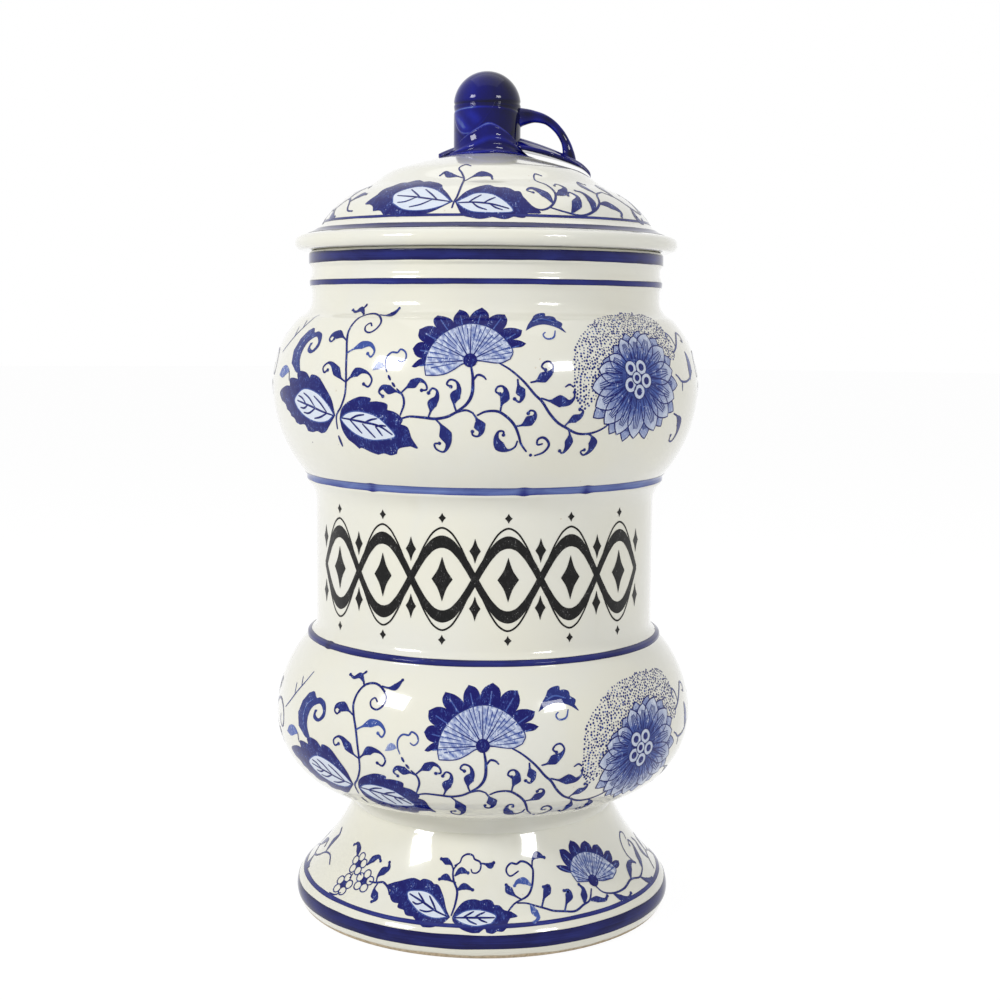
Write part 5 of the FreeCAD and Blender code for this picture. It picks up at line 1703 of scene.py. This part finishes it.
    def draw(self) -> None:
        """Draws the sprays of half the foot."""
        sheet = self.sheet
        self.blossoms()
        leaf_pair(sheet, self.LEAVES)
        self.scrolls()
        fan_flower(sheet, (43.4, 11.8), self.FAN, self.FAN_TIPS, self.FAN_NOTCHES, 2.2)
        sheet.vine("43.4 9.6, 45 7, 49 5.4, 55 5.2, 62 6.8, 68 5.6, 74 7", 0.75)
        sheet.leaflet("49 5.4, 51.4 2.6, 54.6 1.6, 57 2.8", 2.4)
        sheet.leaflet("62 6.8, 65.4 10.4, 69.4 11.8, 72 10.4", 2.7)
        sheet.leaflet("68 5.6, 71 2.6, 75 2.2", 2.4)
        sheet.leaflet("74 7, 78 10.6, 81.6 15, 79.6 17.6, 77.6 16", 3.0)
        sheet.vine("72 10.4, 70 15, 72 20, 76.5 22, 79 20.4, 78 18.4", 0.65)
        sheet.vine("83 3, 87 6, 92 7.6, 98 6, 103 7.6, 108 11, 114 12, 119 9.6", 0.75)
        sheet.leaflet("87 6, 86.4 10, 88.6 13.8, 86.6 16", 2.8)
        sheet.leaflet("92 7.6, 95.6 11.4, 100 13.2, 102 11.6", 2.8)
        sheet.leaflet("98 6, 101 2.6, 105 2.4", 2.4)
        sheet.leaflet("108 11, 107.4 15.6, 109.6 19.4, 107.6 21.4", 2.8)


class LidSprays:
    """The sprays round the lid: a leaf pair with its stem, and vines of curled leaves."""

    LEAVES = (
        (
            "-12 14.8, -15 19, -18 22.4/-19 24.6, -21.5 26.4/-24 27.4, -27 28.4/-30 28.2, -33 29.6, -36 29.6/"
            "-39 28.2, -43 28/-45 25.4, -48 23/-48 19.6, -50.4 15/-47.4 14.6, -45 13.5/-43.4 11.4, -40 11.4/"
            "-37.6 9.6, -34.6 9.8/-31.6 8.6, -27 9, -20 10",
            "-12.8 14.8, -17 18.8, -22 22, -30 23.6, -38 19.4/-36 14.6, -30 11.6, -24 11, -20 11.5, -16 12.8",
            "-13.4 14.8, -20 16, -28 17.4, -36 18.4",
            ("-18 15.6, -21 18.4, -25 21.6", "-25 16.8, -28 19.2, -31.6 21.8", "-20 15.8, -24 13.6, -28 12.6",
             "-27 17, -30.6 15.2, -33.8 14.8"),
        ),
        (
            "-11.4 14.8, -8 20, -3 23.5, 1 24.6/3 23.4, 5.4 22.9/7.4 23, 9.4 22.2/11 20.6, 13 20.4/13.6 17.6,"
            "16.2 13.2/17.8 12, 18.7 10.3/14 10, 12.6 8.2/9 8.6, 6 7.4/2 8.4, -2 7.4/-5 8, -8 9",
            "-10.8 14.6, -8 16.6, -4 19, 2 18.5, 7 14.5, 9 10.8/2 10, -5 10.5, -8.6 12.4",
            "-10 14.2, -4 14.4, 2 13.6, 7.6 11.8",
            ("-6.4 14.4, -4.4 16.2, -2 18", "-1 14.2, 1 15.6, 3.2 16.8", "-5 14.2, -3 12.4, 0 11.2",
             "1 13.8, 3 12.2, 5.4 11.2"),
        ),
    )

    def __init__(self, sheet: Sheet) -> None:
        """Keeps the sheet to draw on."""
        self.sheet = sheet

    def draw(self) -> None:
        """Draws the sprays of half the lid."""
        sheet = self.sheet
        leaf_pair(sheet, self.LEAVES)
        sheet.vine("-12 12, -11.6 15, -11 17, -10.5 25, -10.8 30, -13 34, -15.5 37, -12.6 39.6, -9 38.4", 0.85)
        sheet.leaflet("-10.9 30.4, -14.6 31.8, -19 32.6, -22.4 34.4, -24 32.6", 2.9, 2)
        sheet.leaflet("-10.6 27.6, -7 31.4, -2.6 33.2, 2 32.2, 2.6 30", 3.1, 2)
        sheet.vine("15.6 12.4, 19.6 11.6, 24 14, 27.5 20, 26.6 26, 23.4 30, 25.6 34, 29 33", 0.85)
        sheet.leaflet("24.4 14.6, 22.8 19.2, 18.4 22.8, 16 21.2, 18.2 20", 3.6, 1)
        sheet.leaflet("27 19, 31 20.6, 34.6 24.4, 32.4 27, 30.4 25.4", 3.2, 1)
        sheet.vine("23 12.6, 28 11, 34 9.8, 40 11.6, 46 15.6, 50 21, 56 23", 0.85)
        sheet.leaflet("30.4 10.6, 34.4 14.8, 37 18.6, 34.6 21, 32.8 19", 3.6, 1)
        sheet.leaflet("40 11.6, 42.6 16.6, 41.6 21.2, 38.8 22.4", 3.2, 1)
        sheet.leaflet("46 15.6, 51.4 15.4, 56 12.4, 54.6 10.4", 3.2, 1)
        sheet.leaflet("50 21, 47.6 26, 49.8 30, 52.8 28.6", 3.0, 1)
        sheet.vine("56 23, 62 20.4, 68 15.4, 75 13, 82 15, 88 20, 94 21", 0.85)
        sheet.leaflet("62 20.4, 62.4 26, 66 29.4, 68.4 27.6", 3.2, 1)
        sheet.leaflet("68 15.4, 66.6 10.8, 69.8 8.8, 72 10.4", 3.0, 1)
        sheet.leaflet("75 13, 78.8 18.4, 77 23.6, 74.4 22.6", 3.4, 1)
        sheet.leaflet("82 15, 86.4 11.6, 91 11.4, 92 13.6", 3.2, 1)
        sheet.leaflet("88 20, 86.8 25.4, 89.8 29, 92.6 27.4", 3.2, 1)
        sheet.vine("94 21, 100 18, 107 14, 113 14.6, 119 19, 124 17, 129 12.6, 133 12", 0.85)
        sheet.leaflet("100 18, 101.6 23.4, 105.4 26, 107.6 24", 3.2, 1)
        sheet.leaflet("107 14, 105.6 9.8, 108.6 8.2", 2.8, 1)
        sheet.leaflet("113 14.6, 116.8 10.6, 121 10.2", 2.8, 1)
        sheet.leaflet("119 19, 117.4 24.4, 120.4 27.8, 123 26", 3.0, 1)
        sheet.leaflet("124 17, 128 20.4, 132 20.6", 2.8, 1)


class BandFlourish:
    """The black pen ornament on the band: two waves that cross, with a diamond in each eye."""

    EYE = 22.0
    EYES = 6
    TALL = 12.5
    CENTRE = (-3.0, 1.5)

    def __init__(self, sheet: Sheet) -> None:
        """Keeps the sheet to draw on."""
        self.sheet = sheet

    def wave(self, side: int, tall: float, width: float) -> None:
        """Draws one wave with a broad pen.

        Args:
            side: 1 or -1, which way its first crest goes.
            tall: its height from the middle.
            width: the pen's width.
        """
        steps = self.EYES * 8
        half = self.EYE * self.EYES / 2.0
        pairs = []
        for step in range(steps + 1):
            share = step / steps
            pairs.append(f"{-half + 2.0 * half * share} {side * tall * math.sin(share * self.EYES * math.pi)}")
        self.sheet.nib(", ".join(pairs), width, 90.0, 0.0)

    def draw(self) -> None:
        """Draws the waves, the diamonds and the points at both ends."""
        sheet = self.sheet.frame(*self.CENTRE)
        for side in (1, -1):
            self.wave(side, self.TALL, 3.6)
            self.wave(side, self.TALL + 4.6, 0.1)
        for number in range(self.EYES):
            x = (number + 0.5 - self.EYES / 2.0) * self.EYE
            sheet.lozenge((x, 0.0), 7.2, 15.0, 0.0)
            for side in (1, -1):
                sheet.lozenge((x, side * 20.4), 2.6, 3.4, 0.0)
        for number in range(self.EYES + 1):
            x = (number - self.EYES / 2.0) * self.EYE
            for side in (1, -1):
                sheet.lozenge((x, side * 9.6), 3.8, 8.4, 0.0)


@dataclass(frozen=True)
class WheelLine:
    """A line painted round the pot while it turns, in millimetres from the surface's datum."""

    name: str
    middle: float
    width: float
    tone: float = 0.35
    waver: float = 0.12
    tilt: PAIR = (0.0, 0.0)
    knots: tuple[float, ...] = ()
    round: float = TURN * 60.0
    seed: int = 1

    def draw(self, sheet: Sheet) -> None:
        """Draws the line as a closed strip, darker at its edges and where the brush overlapped."""
        count = 420
        x = np.linspace(-self.round / 2.0, self.round / 2.0, count)
        phase = x / self.round * TURN
        source = np.random.default_rng(self.seed)
        wave = np.zeros(count)
        swell = np.zeros(count)
        for order in range(2, 30):
            shift, other = source.uniform(0.0, TURN, 2)
            wave += np.cos(order * phase + shift) / order ** 0.8
            swell += np.cos(order * phase + other) / order ** 0.5
        middle = self.middle + self.waver * 0.35 * wave + self.tilt[0] * np.cos(phase) + self.tilt[1] * np.sin(phase)
        half = self.width / 2.0 * (1.0 + self.waver * 0.22 * swell)
        across = np.array((-1.0, -0.85, -0.65, -0.4, -0.14, 0.14, 0.4, 0.65, 0.85, 1.0))
        knot = np.zeros(count)
        for place in self.knots:
            knot += np.exp(-(((x - place) / 1.5) ** 2))
        half = half * (1.0 + 0.28 * knot)
        flat = np.stack([np.broadcast_to(x, (len(across), count)), middle + half * across[:, None]], axis=-1).reshape(-1, 2)
        edge = np.abs(across)[:, None] ** 3 * np.ones(count)
        tones = np.clip(self.tone - 0.3 * edge - 0.3 * knot, 0.0, 1.0).ravel()
        faces = [
            (row * count + i, row * count + i + 1, (row + 1) * count + i + 1, (row + 1) * count + i)
            for row in range(len(across) - 1) for i in range(count - 1)
        ]
        sheet._add(flat, faces, tones, 0)


@dataclass
class Ornament:
    """Everything that is printed and painted on the pottery."""

    pot: Pot
    lid: Lid
    blue: PrintedInk = field(default_factory=lambda: PrintedInk(
        "cobalt_print", (0.002, 0.002, 0.125), (0.06, 0.115, 0.41), (0.70, 0.76, 0.86), 0.6, 0.75))
    black: PrintedInk = field(default_factory=lambda: PrintedInk(
        "black_print", (0.003, 0.003, 0.003), (0.08, 0.08, 0.08), (0.4, 0.4, 0.38), 0.3, 0.7))
    brush: BrushedLine = field(default_factory=lambda: BrushedLine(
        "cobalt_line", (0.17, 0.24, 0.52), (0.018, 0.026, 0.21), (0.003, 0.003, 0.07)))

    def surface(self, name: str, outline: Outline, datum: PAIR, radius: float, body: Body) -> Surface:
        """Makes one surface to draw on."""
        return Surface(name, outline, datum, radius, body, self.lay)

    def lines(self, surface: Surface, *lines: WheelLine) -> None:
        """Paints lines round a surface."""
        for line in lines:
            sheet = Sheet()
            line.draw(sheet)
            surface.lay(sheet.flat_mesh(line.name), self.brush_material, Slot.PRINT)

    def frieze(self, surface: Surface, name: str, shift: PAIR) -> None:
        """Prints the frieze on a bulb, twice round, with the stippled ground of its flower."""
        sheet = Sheet().frame(*shift)
        Frieze(sheet).draw()
        surface.lay(sheet.flat_mesh(name), self.blue_material, Slot.PRINT, 2)
        patch = Sheet().frame(*shift)
        patch.LIFT = 0.05
        patch.fill(cornered(Frieze.AURA, 0.8), 0.1)
        ground = patch.flat_mesh(name + "_stipple")
        self.dots.run(ground, Spacing=0.86 * MM, Dot=0.4 * MM, Seed=7, Material=self.blue_material)
        marks = ground.data.attributes.new("tone", "FLOAT", "POINT") if "tone" not in ground.data.attributes else None
        if marks:
            marks.data.foreach_set("value", np.full(len(ground.data.vertices), 0.2, dtype=np.float32))
        surface.lay(ground, self.blue_material, Slot.PRINT, 2)

    def make(self) -> None:
        """Makes all the ornament."""
        self.lay = lay_tree()
        self.dots = stipple_tree()
        self.blue_material = self.blue.make()
        black = self.black.make()
        self.brush_material = self.brush.make()
        outside = self.pot.outside
        upper = self.surface("upper_bulb", outside(), self.pot.upper_belly, 76.5, Body.JAR)
        self.frieze(upper, "print_upper_frieze", (0.0, 0.0))
        lower = self.surface("lower_bulb", outside(), self.pot.lower_belly, 75.4, Body.JAR)
        self.frieze(lower, "print_lower_frieze", (5.0, -6.2))
        band = self.surface("band", outside(), (61.0, 126.3), 61.0, Body.JAR)
        sheet = Sheet()
        BandFlourish(sheet).draw()
        band.lay(sheet.flat_mesh("print_band_flourish"), black, Slot.PRINT)
        collar = self.surface("collar", outside(), (63.2, 233.2), 60.0, Body.JAR)
        self.lines(
            collar,
            WheelLine("line_collar", 0.8, 3.6, 0.2, 0.10, seed=3),
            WheelLine("line_bead", -8.2, 1.9, 0.35, 0.14, seed=4),
            WheelLine("line_over_band", -83.4, 2.7, 0.8, 0.10, knots=(-37.0, 12.0, 33.0), seed=5),
            WheelLine("line_under_band", -142.5, 2.7, 0.3, 0.10, knots=(-60.0, 88.0), seed=6),
        )
        foot = self.surface("foot", self.pot.foot_outside(), self.pot.foot_shoulder, 60.0, Body.JAR)
        sheet = Sheet()
        FootSprays(sheet).draw()
        foot.lay(sheet.flat_mesh("print_foot_sprays"), self.blue_material, Slot.PRINT, 2)
        self.lines(
            foot,
            WheelLine("line_foot_wide", -5.1, 4.8, 0.15, 0.10, (0.2, 0.3), seed=8),
            WheelLine("line_foot_thin", 1.4, 1.6, 0.4, 0.2, (-0.9, 0.2), seed=9),
        )
        lid = self.surface("lid", self.lid.outside(), (65.5, 241.9), 60.0, Body.LID)
        sheet = Sheet()
        LidSprays(sheet).draw()
        lid.lay(sheet.flat_mesh("print_lid_sprays"), self.blue_material, Slot.PRINT, 2)
        self.lines(
            lid,
            WheelLine("line_lid_wide", 3.9, 3.8, 0.15, 0.10, seed=10),
            WheelLine("line_lid_thin", 9.2, 1.1, 0.4, 0.16, seed=11),
        )
        for surface in (upper, lower, band, collar, foot, lid):
            surface.finish()


@dataclass
class Studio:
    """The camera, the pale floor and the soft lamps. The camera's place is in metres."""

    camera_at: tuple[float, float, float] = (0.0, -0.594, 0.215)
    pitch: float = 6.71
    yaw: float = 0.21
    roll: float = 0.42
    lens: float = 58.97
    shift: PAIR = (0.0095, 0.0058)
    world_light: float = 0.38

    def make_camera(self) -> None:
        """Makes the camera at the photograph's viewing angle."""
        data = bpy.data.cameras.new("camera")
        data.sensor_width = 36.0
        data.lens = self.lens
        data.shift_x, data.shift_y = self.shift
        data.clip_start = 0.01
        camera = bpy.data.objects.new("camera", data)
        aim = Euler((math.radians(90.0 - self.pitch), 0.0, math.radians(-self.yaw)), "XYZ").to_matrix()
        spin = Euler((0.0, 0.0, math.radians(self.roll)), "XYZ").to_matrix()
        camera.matrix_world = (aim @ spin).to_4x4()
        camera.location = self.camera_at
        bpy.context.collection.objects.link(camera)
        bpy.context.scene.camera = camera

    def make_floor(self) -> None:
        """Makes the round pale floor."""
        around = 64
        reach = 6.0
        points = [(reach * math.cos(i * TURN / around), reach * math.sin(i * TURN / around), 0.0) for i in range(around)]
        floor = mesh_piece("floor", np.array(points), [list(range(around))], PaleBackdrop().make())

    def make_lamp(self, name: str, place: tuple[float, float, float], aim: tuple[float, float, float],
                  size: PAIR, power: float) -> None:
        """Makes one rectangular soft lamp.

        Args:
            name: its name.
            place: where it hangs, in metres.
            aim: the point that it faces.
            size: its width and height.
            power: its power in watts.
        """
        data = bpy.data.lights.new(name, "AREA")
        data.shape = "RECTANGLE"
        data.size, data.size_y = size
        data.energy = power
        lamp = bpy.data.objects.new(name, data)
        lamp.location = place
        lamp.rotation_euler = (Vector(aim) - Vector(place)).to_track_quat("-Z", "Y").to_euler()
        bpy.context.collection.objects.link(lamp)

    def make_world(self) -> None:
        """Lights the object evenly from all round, white where the camera or a reflection looks past it."""
        world = bpy.data.worlds.new("room")
        bpy.context.scene.world = world
        world.use_nodes = True
        tree = world.node_tree
        background = tree.nodes["Background"]
        background.inputs["Color"].default_value = (1.0, 1.0, 1.0, 1.0)
        path = tree.nodes.new("ShaderNodeLightPath")
        seen = path.outputs["Is Camera Ray"]
        for ray in ("Is Glossy Ray", "Is Transmission Ray"):
            either = tree.nodes.new("ShaderNodeMath")
            either.operation = "MAXIMUM"
            tree.links.new(seen, either.inputs[0])
            tree.links.new(path.outputs[ray], either.inputs[1])
            seen = either.outputs[0]
        mix = tree.nodes.new("ShaderNodeMix")
        mix.inputs[2].default_value = self.world_light
        mix.inputs[3].default_value = 1.0
        tree.links.new(seen, mix.inputs[0])
        tree.links.new(mix.outputs[0], background.inputs["Strength"])

    def make(self) -> None:
        """Sets up the whole studio."""
        self.make_camera()
        self.make_floor()
        self.make_lamp("window_left", (-0.95, -0.7, 0.75), (0.0, 0.0, 0.17), (0.36, 0.28), 8.0)
        self.make_lamp("window_right", (0.75, -0.85, 0.72), (0.0, 0.0, 0.17), (0.26, 0.2), 3.6)
        self.make_lamp("ceiling", (0.0, 0.1, 1.3), (0.0, 0.0, 0.2), (1.2, 1.2), 2.6)
        self.make_world()


def main() -> None:
    """Makes the jar, the lid and the knob, and then the studio around them."""
    logging.basicConfig(level=logging.INFO)
    bpy.context.scene.view_settings.view_transform = "Standard"
    pot = Pot()
    lid = Lid()
    pot.make_body()
    pot.make_foot()
    lid.make_dome()
    lid.make_ring()
    Rosebud(lid).make()
    Ornament(pot, lid).make()
    Studio().make()


if __name__ == "__main__":
    main()
